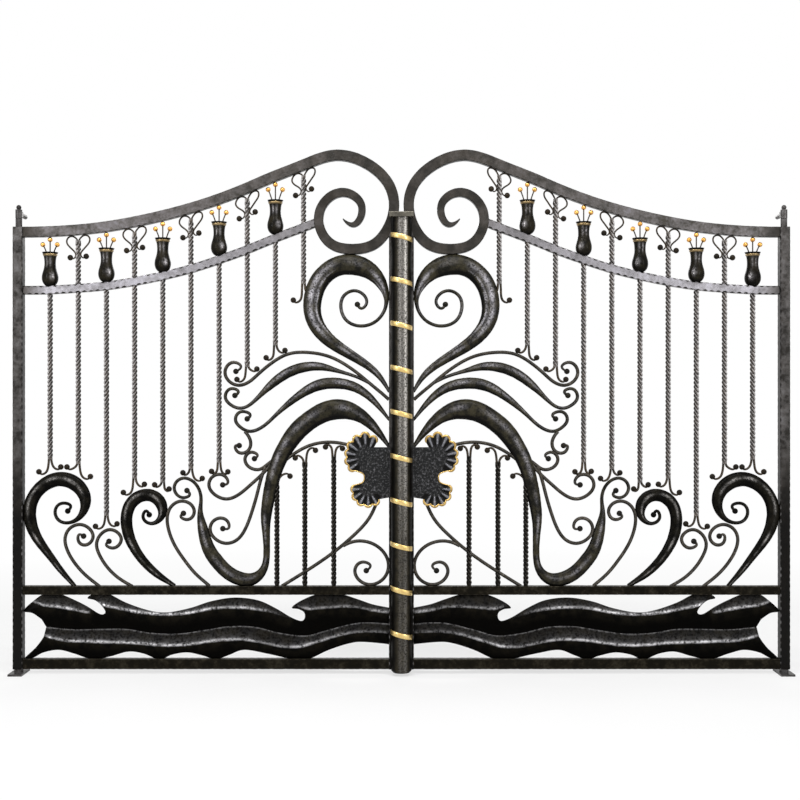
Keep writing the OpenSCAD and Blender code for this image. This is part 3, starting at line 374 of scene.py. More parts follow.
def evenly(rows: Array, spacing: float) -> Array:
    """Space the rows of a line evenly.

    Args:
        rows: rows whose first two columns are the line.
        spacing: wanted distance between rows.

    Returns:
        Rows at even distances, with the other columns carried along.
    """
    run = run_lengths(rows)
    count = max(round(run[-1] / spacing), 2)
    at = np.linspace(0, run[-1], count + 1)
    return np.column_stack([np.interp(at, run, column) for column in rows.T])


def dents(points: Array, size: float) -> Array:
    """Depth of the hammer blows at some points, from 0 between blows to 1 in the middle of one.

    Args:
        points: points in millimetres.
        size: distance between blows.

    Returns:
        One value to a point.
    """
    flat = points.reshape(-1, 3) / size
    depth = [max(1.0 - 1.5 * noise.voronoi(Vector(spot))[0][0], 0.0) for spot in flat]
    return np.array(depth).reshape(points.shape[:-1])


def wander(values: Array, seed: float) -> Array:
    """Slow steady noise along a line, from about -1 to 1."""
    return np.array([noise.noise(Vector((float(value), seed, 0.37))) for value in values])


@dataclass(frozen=True)
class Spine:
    """Centre line of a bar in the plane of the leaf: rows of x, z and half width."""

    rows: Array

    @classmethod
    def through(cls, stations: Array, spacing: float) -> "Spine":
        """Lay an evenly spaced smooth spine through stations."""
        return cls(evenly(fair_rows(stations, CURVE_STEPS), spacing))

    @classmethod
    def straight(cls, start: Sequence[float], end: Sequence[float], half_w: float,
                 spacing: float) -> "Spine":
        """Straight spine of one half width from start to end."""
        return cls(evenly(np.array([(*start, half_w), (*end, half_w)], float), spacing))

    def across(self) -> Array:
        """Unit vector across the spine at each row, in the plane of the leaf.

        Returns:
            One vector to a row.
        """
        run = np.gradient(self.rows[:, :2], axis=0)
        run /= np.linalg.norm(run, axis=1)[:, None]
        return np.column_stack([-run[:, 1], run[:, 0]])

    def centres(self) -> Array:
        """Points of the spine in space, one to a ring."""
        return np.column_stack([self.rows[:, 0], np.zeros(len(self.rows)), self.rows[:, 1]])[:, None, :]

    def rooted(self, bite: float = 3.0) -> "Spine":
        """Cut the root back to a short bite into the meeting stile, the hinge stile or the waist rail.

        Args:
            bite: Length that stays inside, in mm.

        Returns:
            The shorter spine.
        """
        x, z = self.rows[:, 0], self.rows[:, 1]
        inside = (x < SIZES.meet_in + bite) & (x > SIZES.stile_in - bite) & (z > SIZES.waist_top - bite)
        return Spine(self.rows[int(np.argmax(inside)):])

    def height_at(self, x: float) -> float:
        """Height of the spine where it first passes x.

        Args:
            x: Place along the leaf.

        Returns:
            The height in mm.
        """
        along = self.rows[:, 0]
        k = int(np.argmax((along[:-1] <= x) & (along[1:] > x)))
        share = (x - along[k]) / (along[k + 1] - along[k])
        return float(self.rows[k, 1] + share * (self.rows[k + 1, 1] - self.rows[k, 1]))

    def slope_at(self, x: float) -> float:
        """Rise of the spine over its run where it first passes x."""
        reach = SIZES.bar_w
        return (self.height_at(x + reach) - self.height_at(x - reach)) / (2 * reach)

    def half_height_at(self, x: float) -> float:
        """Half of the bar's height on the upright line at x."""
        return float(self.rows[0, 2] * math.hypot(1, self.slope_at(x)))


def tapered(stations: Array) -> Array:
    """Stations whose last rows grow slim towards the tip.

    Args:
        stations: Rows of place and half width.

    Returns:
        The same rows with a slim tip.
    """
    slim = stations.copy()
    slim[-len(TIP_SHARES):, 2] *= TIP_SHARES
    return slim


def bell(offset: Array, width: float) -> Array:
    """Smooth bump of height 1 about 0."""
    return np.exp(-(offset / width) ** 2)


@dataclass(frozen=True)
class PaintedBarLight:
    """Painted light along a forged bar: a painted highlight streak that leans towards the light, and painted
    shade along its edges and on the side that faces down.

    Widths and places are shares of the bar's half width, and runs are millimetres along it.
    """

    polish: float = 0.8
    width: float = 0.4
    second: float = 0.0
    steady: float = 0.7
    upright: float = 0.0
    lean: float = 0.3
    light_from: Pair = (-0.6, 0.8)
    drift: float = 0.1
    drift_run: float = 90.0
    fading: float = 0.9
    fading_run: float = 55.0
    least_glow: float = 0.03
    second_at: float = -0.68
    second_width: float = 0.13
    edge: float = 0.2
    under_shade: float = 1.2
    under_shade_from: float = 0.25

    def wear_and_light(self, spine: Spine, side: Array) -> Array:
        """Painted light round a bar: a painted highlight streak between edges in painted shade, and painted
        shade on the side that faces down.

        Args:
            spine: centre line of the bar.
            side: places across the bar, from -1 to 1.

        Returns:
            Painted highlight and painted shade at each row and place.
        """
        run, across = run_lengths(spine.rows), spine.across()
        # The painted highlight streak leans towards light_from, where the light comes from, and drifts along
        # the bar.
        streak = self.lean * across @ self.light_from + self.drift * wander(run / self.drift_run, 2.5)
        place = side - streak[:, None]
        glow = np.clip(self.steady + self.fading * wander(run / self.fading_run, 5.1), self.least_glow, 1)
        glow *= 1 - self.upright * (1 - np.abs(across[:, 0]) ** 3)
        highlight_streaks = bell(place, self.width) + self.second * bell(place - self.second_at, self.second_width)
        # Painted shade along the bar's two edges and on the side that faces down.
        edges = np.clip((np.abs(place) - 1 + self.edge) / self.edge, 0, 1)
        shade_below = self.under_shade * np.clip(-across[:, 1:] * side - self.under_shade_from, 0, 1)
        return self.polish * glow[:, None] * highlight_streaks - edges - shade_below


class MeshDraft:
    """Gathers the closed shells of one piece, in millimetres of the left leaf."""

    # Round bars: half width that gets the full painted light, least shares of painted highlight and painted
    # shade, oval of thick bars.
    full_light_half_w: float = 22.0
    least_highlight: float = 0.3
    least_shade: float = 0.7
    oval_share: float = 0.45
    dent_reach: float = 20.0
    # Balls: soot on them, and the angle that is left open at the poles.
    ball_wear: float = -0.6
    pole: float = 0.03
    axis_r: float = 0.2
    # Oblong bars: share of a half side that a blow may take, its lip and hollow, darkening of the sides.
    blow_room: float = 0.45
    lip_share: float = 0.2
    lip_most: float = 0.8
    blow_hollow: float = 0.32
    blow_stray: float = 0.35
    blow_shift: float = 0.23
    blow_force: float = 0.65
    force_spread: float = 0.5
    blow_soot: float = 1.7
    side_dark: float = -0.45
    skin_blow: float = 26.0
    skin_dent: float = 0.5
    # Twisted bars: rings to a turn, plain ends, swell of the edges, hollow across a face, and its wear and
    # painted light: rubbed edges and painted shade in the hollow middle.
    turn_rings: int = 10
    least_rings: int = 8
    plain_end: float = 20.0
    twist_swell: float = 1.1
    edge_round: float = 0.5
    face_hollow: tuple[float, ...] = (0, 0.5, 0.9, 0.5, 0)
    face_wear_and_light: tuple[float, ...] = (1, 0.9, -0.2, -1, -0.6)
    # Formed plates: room round a line, room inside the rim in spacings, what counts as one point.
    line_room: float = 2.0
    rim_room: float = 0.45
    same_point: float = 1e-4
    crease_deg: float = 38.0

    def __init__(self) -> None:
        """Start with nothing drawn."""
        self.points: list[Array] = []
        self.wear_and_light: list[Array] = []
        self.faces: list[tuple[int, ...]] = []
        self.count = 0

    def add(self, points: Array, faces: Sequence[Sequence[int]], wear_and_light: Array | None = None) -> None:
        """Add points with the faces between them.

        Args:
            points: points of the shell.
            faces: corners of each face, counted in these points.
            wear_and_light: wear and painted light at each point, from -1, darkest, to 1, lightest; it holds
                rubbing and darker patina as well as painted highlights and painted shade.
        """
        points = points.reshape(-1, 3)
        self.faces += [tuple(int(corner) + self.count for corner in face) for face in faces]
        self.points.append(points)
        self.wear_and_light.append(np.zeros(len(points)) if wear_and_light is None else wear_and_light.reshape(-1))
        self.count += len(points)

    def sweep(self, rings: Array, wear_and_light: Array | None = None) -> None:
        """Skin rings of points into a shell that is closed at both ends.

        Args:
            rings: rings of points, all of one count.
            wear_and_light: wear at each of their points.
        """
        length, sides = rings.shape[:2]
        i, k = np.meshgrid(np.arange(length - 1), np.arange(sides), indexing="ij")
        turn = (k + 1) % sides
        quads = np.stack([i * sides + k, i * sides + turn, (i + 1) * sides + turn, (i + 1) * sides + k], -1)
        caps = [range(sides), range(length * sides - 1, (length - 1) * sides - 1, -1)]
        self.add(rings, [*quads.reshape(-1, 4).tolist(), *caps], wear_and_light)

    def oval_bar(self, spine: Spine, sides: int, dent: float = 0.0, blow: float = 16.0,
                 bar_light: PaintedBarLight = PaintedBarLight()) -> None:
        """Forged bar, round where it is slim and oval where it is thick, with a painted highlight streak and
        painted shade along its length.

        Args:
            spine: centre line with half widths.
            sides: points round the section.
            dent: depth of the hammer blows.
            blow: distance between blows.
            bar_light: the painted highlight and painted shade along it.
        """
        turn = np.linspace(0, 2 * np.pi, sides, endpoint=False)
        half_w = spine.rows[:, 2:3]
        slim = SIZES.slim_d / 2
        half_d = np.where(half_w < slim, half_w, slim + (half_w - slim) * self.oval_share)
        across = spine.across()
        offset = np.stack([
            across[:, :1] * half_w * np.cos(turn),
            half_d * np.sin(turn),
            across[:, 1:] * half_w * np.cos(turn),
        ], -1)
        centre = spine.centres()
        if dent:
            reach = np.linalg.norm(offset, axis=2)
            depth = dent * dents(centre + offset, blow) * np.minimum(reach / self.dent_reach, 1)
            offset *= (1 - depth / reach)[..., None]
        # Painted highlight streak and painted shade round the bar, weaker on slim bars.
        worn = bar_light.wear_and_light(spine, np.cos(turn))
        share = np.clip(half_w / self.full_light_half_w, self.least_highlight, 1)
        self.sweep(centre + offset, worn * np.where(worn < 0, np.maximum(share, self.least_shade), share))

    def square_bar(self, spine: Spine, half_d: float, cut: float, notch: float, pitch: float) -> Array:
        """Rings of a bar of oblong section, with hammered faces and blows along its edges.

        Args:
            spine: centre line with half widths.
            half_d: half depth of the bar.
            cut: cut of the plain edges.
            notch: how much deeper a blow cuts the edge.
            pitch: distance between blows.

        Returns:
            Rings of 24 points and the darkening in the blows and along the sides, stacked in the last axis.
        """
        run = run_lengths(spine.rows)
        half_w = spine.rows[:, 2]
        room = np.minimum(half_w * self.blow_room, half_d * self.blow_room)
        lip = np.minimum(half_w * self.lip_share, self.lip_most)
        rows: list[Array] = []
        for corner, (sx, sy) in enumerate(((1, 1), (-1, 1), (-1, -1), (1, -1))):
            stray = self.blow_stray * wander(run / (3 * pitch), corner + 0.5)
            phase = run / pitch + stray + self.blow_shift * corner
            force = self.blow_force + self.force_spread * wander(run / pitch, corner + 7.5)
            pulse = (0.5 - 0.5 * np.cos(2 * np.pi * phase)) * force
            trim = np.minimum(cut + notch * np.clip(pulse, 0, 1), room)
            wide, deep = half_w, np.full_like(half_w, half_d)
            darkening = -np.clip(self.blow_soot * pulse, 0, 1)
            side = np.full_like(darkening, self.side_dark)
            hollow = self.blow_hollow * trim
            parts = [
                (wide, deep - trim - lip, side), (wide, deep - trim, np.minimum(darkening, side)),
                (wide - hollow, deep - hollow, darkening), (wide - trim, deep, darkening),
                (wide - trim - lip, deep, 0 * darkening),
            ]
            mid = (wide, 0 * deep, side) if sx == sy else (0 * wide, deep, 0 * darkening)
            if sx != sy:
                parts.reverse()
            rows += [np.column_stack([sx * part[0], sy * part[1], part[2]]) for part in (mid, *parts)]
        section = np.stack(rows, 1)
        across = spine.across()
        ring = np.stack([
            spine.rows[:, :1] + across[:, :1] * section[..., 0],
            section[..., 1],
            spine.rows[:, 1:2] + across[:, 1:] * section[..., 0],
        ], -1)
        blow = dents(ring, self.skin_blow)[..., None] * self.skin_dent
        push = ring - spine.centres()
        ring = ring - push / np.maximum(np.linalg.norm(push, axis=2), 1.0)[..., None] * blow
        return np.concatenate([ring, section[..., 2:]], -1)

    def twisted_bar(self, x: float, foot: float, head: float, half: float, turn: float) -> None:
        """Square bar that is twisted about its length, with plain ends.

        Args:
            x: place of the bar across the leaf.
            foot: height of its lower end.
            head: height of its upper end.
            half: half of its side.
            turn: length of a full turn.
        """
        rings = max(round((head - foot) / (turn / self.turn_rings)), self.least_rings)
        z = np.linspace(foot, head, rings)
        rate = np.clip(np.minimum(z - foot, head - z) / self.plain_end, 0, 1)
        angle = np.cumsum(rate) * (z[1] - z[0]) * 2 * np.pi / turn
        half = half * self.twist_swell
        edge = half - self.edge_round
        hollow = np.array(self.face_hollow)
        flat = np.column_stack([half - hollow, edge * np.linspace(-1, 1, len(hollow))])
        unit = np.vstack([flat, flat[:, ::-1] * (-1, 1), -flat, flat[:, ::-1] * (1, -1)])
        cos, sin = np.cos(angle)[:, None], np.sin(angle)[:, None]
        shell = np.stack([
            x + cos * unit[:, 0] - sin * unit[:, 1], sin * unit[:, 0] + cos * unit[:, 1],
            np.repeat(z[:, None], len(unit), 1),
        ], -1)
        # Rubbed edges and painted shade in the hollow face middles, fading towards the plain ends.
        self.sweep(shell, rate[:, None] * np.tile(self.face_wear_and_light, 4))

    def lathe(self, centre: Sequence[float], profile: Array, sides: int,
              wear_and_light: Array | None = None) -> None:
        """Turned shell about an upright line.

        Args:
            centre: foot of the line.
            profile: rows of radius and height.
            sides: points round it.
            wear_and_light: wear at each row and side.
        """
        turn = np.linspace(0, 2 * np.pi, sides, endpoint=False)
        radius = np.maximum(profile[:, :1], self.axis_r)
        rings = np.stack([
            radius * np.cos(turn), radius * np.sin(turn), np.repeat(profile[:, 1:], sides, 1),
        ], -1)
        self.sweep(rings + np.array(centre, float), wear_and_light)

    def ball(self, centre: Sequence[float], radius: float, sides: int = 16) -> None:
        """Round ball.

        Args:
            centre: Its middle.
            radius: Its radius.
            sides: Its faces round.
        """
        tilt = np.linspace(self.pole, np.pi - self.pole, sides // 2 + 1)
        profile = np.column_stack([radius * np.sin(tilt), -radius * np.cos(tilt)])
        self.lathe(centre, profile, sides, np.full((len(profile), sides), self.ball_wear))

    def curl(self, spine: Spine, sides: int, dent: float = 0.0, blow: float = 16.0,
             bar_light: PaintedBarLight = PaintedBarLight()) -> None:
        """Bar with a forged ball about its last station."""
        self.oval_bar(spine, sides, dent, blow, bar_light)
        self.ball((spine.rows[-1, 0], 0, spine.rows[-1, 1]), SIZES.ball_r)

    def relief(self, outline: Array, spacing: float, front: Surface, back: Surface, wear_and_light: Surface,
               lines: Sequence[tuple[Array, Sequence[float]]] = ()) -> None:
        """Formed plate with a front and a back that rise and fall.

        Args:
            outline: points of the closed edge in x and z.
            spacing: distance between the points inside.
            front: depth in y of the front at given points.
            back: depth in y of the back at given points.
            wear_and_light: wear of both at given points.
            lines: lines that the mesh follows, each with the steps of its rows up and down from it.
        """
        low, high = outline.min(0), outline.max(0)
        ticks = [np.arange(a, b, spacing) for a, b in zip(low, high)]
        grid = np.stack(np.meshgrid(*ticks), -1).reshape(-1, 2)
        grid = grid[inside(grid, outline)]
        for line, steps in lines:
            rows = np.vstack([line + (0, step) for step in steps])
            clear = distance(grid, line) > max(steps) + self.line_room
            grid = np.vstack([grid[clear], rows[inside(rows, outline)]])
        grid = grid[distance(grid, np.vstack([outline, outline[:1]])) > self.rim_room * spacing]
        loose = [Vector(spot) for spot in np.vstack([outline, grid])]
        found = delaunay_2d_cdt(loose, [], [list(range(len(outline)))], 1, self.same_point)
        flat = np.array([tuple(spot) for spot in found[0]])
        triangles = np.array(found[2])
        sides = np.concatenate([triangles[:, [0, 1]], triangles[:, [1, 2]], triangles[:, [2, 0]]])
        _, first, uses = np.unique(np.sort(sides, axis=1), axis=0, return_index=True, return_counts=True)
        rim = sides[first[uses == 1]]
        total = len(flat)
        points = np.vstack([
            np.column_stack([flat[:, 0], front(flat), flat[:, 1]]),
            np.column_stack([flat[:, 0], back(flat), flat[:, 1]]),
        ])
        walls = np.column_stack([rim[:, 1], rim[:, 0], rim[:, 0] + total, rim[:, 1] + total])
        self.add(points, [*triangles.tolist(), *(triangles[:, ::-1] + total).tolist(), *walls.tolist()],
                 np.tile(wear_and_light(flat), 2))

    def to_object(self, name: str, material: bpy.types.Material, mirrored: bool) -> bpy.types.Object:
        """Make the mesh object of the piece.

        Args:
            name: name of the piece.
            material: its finish.
            mirrored: whether it belongs to the right leaf.

        Returns:
            The new object, in metres.
        """
        points = np.vstack(self.points)
        if mirrored:
            points = points * (-1, 1, 1) + (SIZES.span, 0, 0)
        mesh = bpy.data.meshes.new(name)
        mesh.from_pydata((points * MM).tolist(), [], self.faces)
        work = bmesh.new()
        work.from_mesh(mesh)
        bmesh.ops.recalc_face_normals(work, faces=work.faces)
        work.to_mesh(mesh)
        work.free()
        mesh.shade_smooth()
        mesh.set_sharp_from_angle(angle=math.radians(self.crease_deg))
        # The wear_and_light attribute holds the wear together with the painted highlights and painted shade.
        mesh.attributes.new("wear_and_light", "FLOAT", "POINT").data.foreach_set(
            "value", np.concatenate(self.wear_and_light).astype(np.float32))
        mesh.materials.append(material)
        return placed(name, mesh)


def inside(points: Array, outline: Array) -> Array:
    """Tell which points lie inside a closed outline.

    Args:
        points: points to test.
        outline: corners of the outline, in order.

    Returns:
        True for each point inside.
    """
    result = np.zeros(len(points), bool)
    for a, b in zip(outline, np.roll(outline, -1, axis=0)):
        crossing = (a[1] > points[:, 1]) != (b[1] > points[:, 1])
        if a[1] != b[1]:
            result ^= crossing & (points[:, 0] < a[0] + (points[:, 1] - a[1]) / (b[1] - a[1]) * (b[0] - a[0]))
    return result


def distance(points: Array, line: Array) -> Array:
    """Distance of each point from a line of straight runs.

    Args:
        points: points to measure from.
        line: corners of the line, in order.

    Returns:
        One distance to a point.
    """
    nearest = np.full(len(points), np.inf)
    for a, b in zip(line[:-1], line[1:]):
        run = b - a
        share = np.clip((points - a) @ run / max(run @ run, 1e-9), 0, 1)
        nearest = np.minimum(nearest, np.linalg.norm(points - a - share[:, None] * run, axis=1))
    return nearest


def placed(name: str, data: bpy.types.ID) -> bpy.types.Object:
    """New object of the scene.

    Args:
        name: Its name.
        data: The mesh, lamp or camera it shows.

    Returns:
        The object.
    """
    item = bpy.data.objects.new(name, data)
    bpy.context.scene.collection.objects.link(item)
    return item


class NodeSheet:
    """Places and wires the nodes of one shader tree."""

    def __init__(self, tree: bpy.types.NodeTree) -> None:
        """Start on an empty tree."""
        self.tree = tree
        tree.nodes.clear()

    def place(self, kind: str, settings: dict[str, object] | None = None,
              wires: dict[str | int, object] | None = None) -> bpy.types.Node:
        """Place a node.

        Args:
            kind: type of the node.
            settings: properties to set on it.
            wires: inputs by name or number, each a socket to link or a value to set.

        Returns:
            The node.
        """
        node = self.tree.nodes.new(kind)
        for key, value in (settings or {}).items():
            setattr(node, key, value)
        for key, value in (wires or {}).items():
            if isinstance(value, Socket):
                self.tree.links.new(value, node.inputs[key])
            else:
                node.inputs[key].default_value = value
        return node

    def math(self, operation: str, *values: object) -> Socket:
        """Place a clamped sum and give its result."""
        settings = {"operation": operation, "use_clamp": True}
        return self.place("ShaderNodeMath", settings, dict(enumerate(values))).outputs[0]

    def ramp(self, value: Socket, low: object, high: object, start: object = 0.0,
             end: object = 1.0) -> Socket:
        """Map a value from low and high to start and end, clamped."""
        wires = {0: value, 1: low, 2: high, 3: start, 4: end}
        return self.place("ShaderNodeMapRange", {}, wires).outputs[0]

    def mix(self, share: object, first: object, second: object) -> Socket:
        """Mix two colours."""
        return self.place("ShaderNodeMix", {"data_type": "RGBA"}, {0: share, 6: first, 7: second}).outputs[2]

    def noise(self, scale: object, detail: float, rough: float = 0.6) -> Socket:
        """Cloudy noise that stays with the piece.

        Args:
            scale: Clouds to a metre.
            detail: Layers of finer clouds.
            rough: Weight of those.

        Returns:
            The noise, 0 to 1.
        """
        where = self.place("ShaderNodeTexCoord").outputs["Object"]
        wires = {"Vector": where, "Scale": scale, "Detail": detail, "Roughness": rough}
        return self.place("ShaderNodeTexNoise", {}, wires).outputs["Fac"]

    def seen(self) -> Socket:
        """Give 1 for the rays that show the background, straight or in metal and glass.

        Returns:
            The mask.
        """
        path = self.place("ShaderNodeLightPath").outputs
        seen = self.math("MAXIMUM", path["Is Camera Ray"], path["Is Glossy Ray"])
        return self.math("MAXIMUM", seen, path["Is Transmission Ray"])


def shader_group(name: str, inputs: dict[str, str], outputs: dict[str, str]) -> NodeSheet:
    """Start a shader node group.

    Args:
        name: name of the group.
        inputs: socket type of each input.
        outputs: socket type of each output.

    Returns:
        Sheet of the group's tree, with its sockets made.
    """
    tree = bpy.data.node_groups.new(name, "ShaderNodeTree")
    sheet = NodeSheet(tree)
    for label, kind in inputs.items():
        tree.interface.new_socket(label, in_out="INPUT", socket_type=kind)
    for label, kind in outputs.items():
        tree.interface.new_socket(label, in_out="OUTPUT", socket_type=kind)
    return sheet


FLOAT = "NodeSocketFloat"
COLOUR = "NodeSocketColor"


@cache
def patina_group() -> bpy.types.NodeTree:
    """Build the group that clouds a dark patina with brown, rubs its high places to grey, and paints the
    highlights and shade that the wear_and_light attribute carries.

    Returns:
        The group's tree, built once.
    """
    sheet = shader_group(
        "patina_and_painted_light",
        {"Dark": COLOUR, "Warm": COLOUR, "Rub and highlight": COLOUR, "Grain": FLOAT, "Warmth": FLOAT, "Rubbing": FLOAT,
         "Edge": FLOAT, "Gloss": FLOAT, "Wear and light": FLOAT},
        {"Color": COLOUR, "Metal": FLOAT, "Roughness": FLOAT})
    entry = sheet.place("NodeGroupInput").outputs
    cloud = sheet.noise(entry["Grain"], 5.0)
    fine = sheet.noise(sheet.place("ShaderNodeMath", {"operation": "MULTIPLY"},
                                   {0: entry["Grain"], 1: 4.0}).outputs[0], 3.0)
    # Positive wear_and_light lifts towards the rub colour, as rubbing and painted highlights; negative
    # darkens towards near black, as darker patina and painted shade.
    rub_and_highlight_share = sheet.ramp(entry["Wear and light"], 0.0, 1.0)
    burnish_and_highlight = sheet.math("MULTIPLY", rub_and_highlight_share, sheet.ramp(fine, 0.36, 0.57, 0.12, 1.15))
    darkening = sheet.ramp(entry["Wear and light"], 0.0, -1.0)
    warm = sheet.math("MULTIPLY", sheet.ramp(cloud, 0.4, 0.62), entry["Warmth"])
    base = sheet.mix(warm, entry["Dark"], entry["Warm"])
    blend = sheet.math("ADD", sheet.math("MULTIPLY", cloud, 0.78), sheet.math("MULTIPLY", fine, 0.22))
    low = sheet.math("SUBTRACT", 0.86, entry["Rubbing"])
    top = sheet.place("ShaderNodeMath", {"operation": "ADD"}, {0: low, 1: 0.36}).outputs[0]
    worn = sheet.ramp(blend, low, top)
    point = sheet.place("ShaderNodeNewGeometry").outputs["Pointiness"]
    edge = sheet.math("MULTIPLY", sheet.ramp(point, 0.505, 0.56), entry["Edge"])
    high = sheet.math("ADD", sheet.math("ADD", worn, edge), burnish_and_highlight)
    rub_and_highlight = sheet.math("MULTIPLY", high, sheet.math("SUBTRACT", 1.0, darkening))
    colour = sheet.mix(rub_and_highlight, base, entry["Rub and highlight"])
    colour = sheet.mix(sheet.math("MULTIPLY", darkening, 0.95), colour, (0.0015, 0.0014, 0.0012, 1))
    matt = sheet.math("SUBTRACT", 0.6, entry["Gloss"])
    rough = sheet.math("ADD", matt, sheet.ramp(fine, 0.3, 0.7, -0.06, 0.1))
    sheet.place("NodeGroupOutput", {}, {
        "Color": colour, "Metal": sheet.ramp(rub_and_highlight, 0.0, 1.0, 0.0, 0.85), "Roughness": rough})
    return sheet.tree


@cache
def hammer_group() -> bpy.types.NodeTree:
    """Build the group that gives the height of a hammered skin.

    Returns:
        The group's tree, built once.
    """
    sheet = shader_group("hammered_skin", {"Blows": FLOAT, "Grit": FLOAT}, {"Height": FLOAT})
    entry = sheet.place("NodeGroupInput").outputs
    where = sheet.place("ShaderNodeTexCoord").outputs["Object"]
    blow = sheet.place("ShaderNodeTexVoronoi", {"feature": "SMOOTH_F1"},
                       {"Vector": where, "Scale": entry["Blows"], "Smoothness": 0.35}).outputs["Distance"]
    grit = sheet.math("MULTIPLY", sheet.noise(900.0, 2.0), entry["Grit"])
    height = sheet.place("ShaderNodeMath", {"operation": "ADD"}, {0: blow, 1: grit}).outputs[0]
    sheet.place("NodeGroupOutput", {}, {"Height": height})
    return sheet.tree


@cache
def gilding_group() -> bpy.types.NodeTree:
    """Build the group that clouds a gilt skin from bright to deep.

    Returns:
        The group's tree, built once.
    """
    sheet = shader_group("worn_gilding", {"Bright": COLOUR, "Deep": COLOUR, "Grain": FLOAT, "Wear and light": FLOAT},
                         {"Color": COLOUR, "Roughness": FLOAT})
    entry = sheet.place("NodeGroupInput").outputs
    cloud = sheet.noise(entry["Grain"], 4.0)
    share = sheet.math("MULTIPLY", sheet.ramp(cloud, 0.4, 0.66), entry["Wear and light"])
    colour = sheet.mix(share, entry["Bright"], entry["Deep"])
    rough = sheet.ramp(cloud, 0.3, 0.7, 0.24, 0.42)
    sheet.place("NodeGroupOutput", {}, {"Color": colour, "Roughness": rough})
    return sheet.tree


@dataclass(frozen=True)
class Finish:
    """Finish of a piece: its name, its slot, and its hammered skin."""

    name: str
    slot: str
    blows: float = field(default=70.0, kw_only=True)
    grit: float = field(default=0.12, kw_only=True)
    depth: float = field(default=0.0006, kw_only=True)
    strength: float = field(default=0.5, kw_only=True)

    def skin(self, sheet: NodeSheet) -> dict[str, object]:
        """Inputs of the shader that are the finish's own."""
        raise NotImplementedError

    def material(self) -> bpy.types.Material:
        """Make the material of the finish, or find it where it is made.

        Returns:
            The material.
        """
        found = bpy.data.materials.get(self.name)
        if found:
            return found
        material = bpy.data.materials.new(self.name)
        material.use_nodes = True
        sheet = NodeSheet(material.node_tree)
        hammer = sheet.place("ShaderNodeGroup", {"node_tree": hammer_group()},
                             {"Blows": self.blows, "Grit": self.grit}).outputs
        bump = sheet.place("ShaderNodeBump", {}, {
            "Strength": self.strength, "Distance": self.depth, "Height": hammer["Height"]}).outputs[0]
        shader = sheet.place("ShaderNodeBsdfPrincipled", {}, {"Normal": bump, **self.skin(sheet)})
        sheet.place("ShaderNodeOutputMaterial", {}, {"Surface": shader.outputs[0]})
        return material


@dataclass(frozen=True)
class IronFinish(Finish):
    """Wrought iron with a patina: its colours, and how far it is clouded, rubbed and polished; its
    rub_and_highlight colour also paints the highlights.
    """

    dark: Colour
    warm: Colour
    rub_and_highlight: Colour
    warmth: float
    rubbing: float
    edge: float
    grain: float = 28.0
    gloss: float = 0.25
    ior: float = 1.25

    def skin(self, sheet: NodeSheet) -> dict[str, object]:
        """Patina that follows the wear_and_light attribute: wear, with painted highlights and painted shade.

        Args:
            sheet: sheet of the material.

        Returns:
            Inputs of the shader.
        """
        wear_and_light = sheet.place("ShaderNodeAttribute", {"attribute_name": "wear_and_light"}).outputs["Fac"]
        patina = sheet.place("ShaderNodeGroup", {"node_tree": patina_group()}, {
            "Dark": (*self.dark, 1), "Warm": (*self.warm, 1), "Rub and highlight": (*self.rub_and_highlight, 1), "Grain": self.grain,
            "Warmth": self.warmth, "Rubbing": self.rubbing, "Edge": self.edge, "Gloss": self.gloss,
            "Wear and light": wear_and_light}).outputs
        return {"Base Color": patina["Color"], "Metallic": patina["Metal"], "Roughness": patina["Roughness"],
                "IOR": self.ior}


@dataclass(frozen=True)
class GiltFinish(Finish):
    """Gilt brass: its bright and deep colour, and how far it is worn."""

    bright: Colour
    deep: Colour
    # wear_and_light of gilt is only how far the gilding is worn; it holds no painted light.
    wear_and_light: float
    grain: float = 60.0
    metal: float = 0.9
    blows: float = field(default=160.0, kw_only=True)
    grit: float = field(default=0.1, kw_only=True)
    depth: float = field(default=0.0004, kw_only=True)
    strength: float = field(default=0.4, kw_only=True)

    def skin(self, sheet: NodeSheet) -> dict[str, object]:
        """Gilding that is worn in clouds.

        Args:
            sheet: sheet of the material.

        Returns:
            Inputs of the shader.
        """
        gild = sheet.place("ShaderNodeGroup", {"node_tree": gilding_group()}, {
            "Bright": (*self.bright, 1), "Deep": (*self.deep, 1), "Grain": self.grain,
            "Wear and light": self.wear_and_light}).outputs
        return {"Base Color": gild["Color"], "Roughness": gild["Roughness"], "Metallic": self.metal}


STILE_STEEL = IronFinish("hammered_stile_steel", "stile_iron", (0.02, 0.018, 0.016), (0.036, 0.028, 0.018),
                         (0.12, 0.116, 0.118), 0.7, 0.48, 0.2, grain=18.0, ior=1.18)
RAIL_STEEL = IronFinish("rubbed_rail_steel", "stile_iron", (0.046, 0.042, 0.035), (0.085, 0.067, 0.04),
                        (0.2, 0.192, 0.21), 0.8, 0.5, 0.1, grain=18.0, strength=0.3)
CAP_STEEL = IronFinish("tube_cap_steel", "stile_iron", (0.04, 0.037, 0.03), (0.07, 0.06, 0.038),
                       (0.16, 0.15, 0.125), 0.6, 0.5, 0.3, grain=14.0, strength=0.3)
FRIEZE_SILVER = IronFinish("silver_frieze_steel", "silver_iron", (0.13, 0.122, 0.12), (0.19, 0.155, 0.11),
                           (0.4, 0.39, 0.425), 0.6, 0.64, 0.0, grain=16.0, strength=0.3)
WAIST_IRON = IronFinish("brown_waist_iron", "dark_iron", (0.006, 0.0052, 0.0036), (0.0125, 0.01, 0.006),
                        (0.045, 0.04, 0.03), 0.8, 0.36, 0.15, ior=1.1)
FORGED_IRON = IronFinish("forged_scroll_iron", "dark_iron", (0.0075, 0.007, 0.0053), (0.04, 0.035, 0.021),
                         (0.66, 0.64, 0.69), 0.8, 0.14, 0.0, grain=36.0, gloss=0.3, ior=1.16)
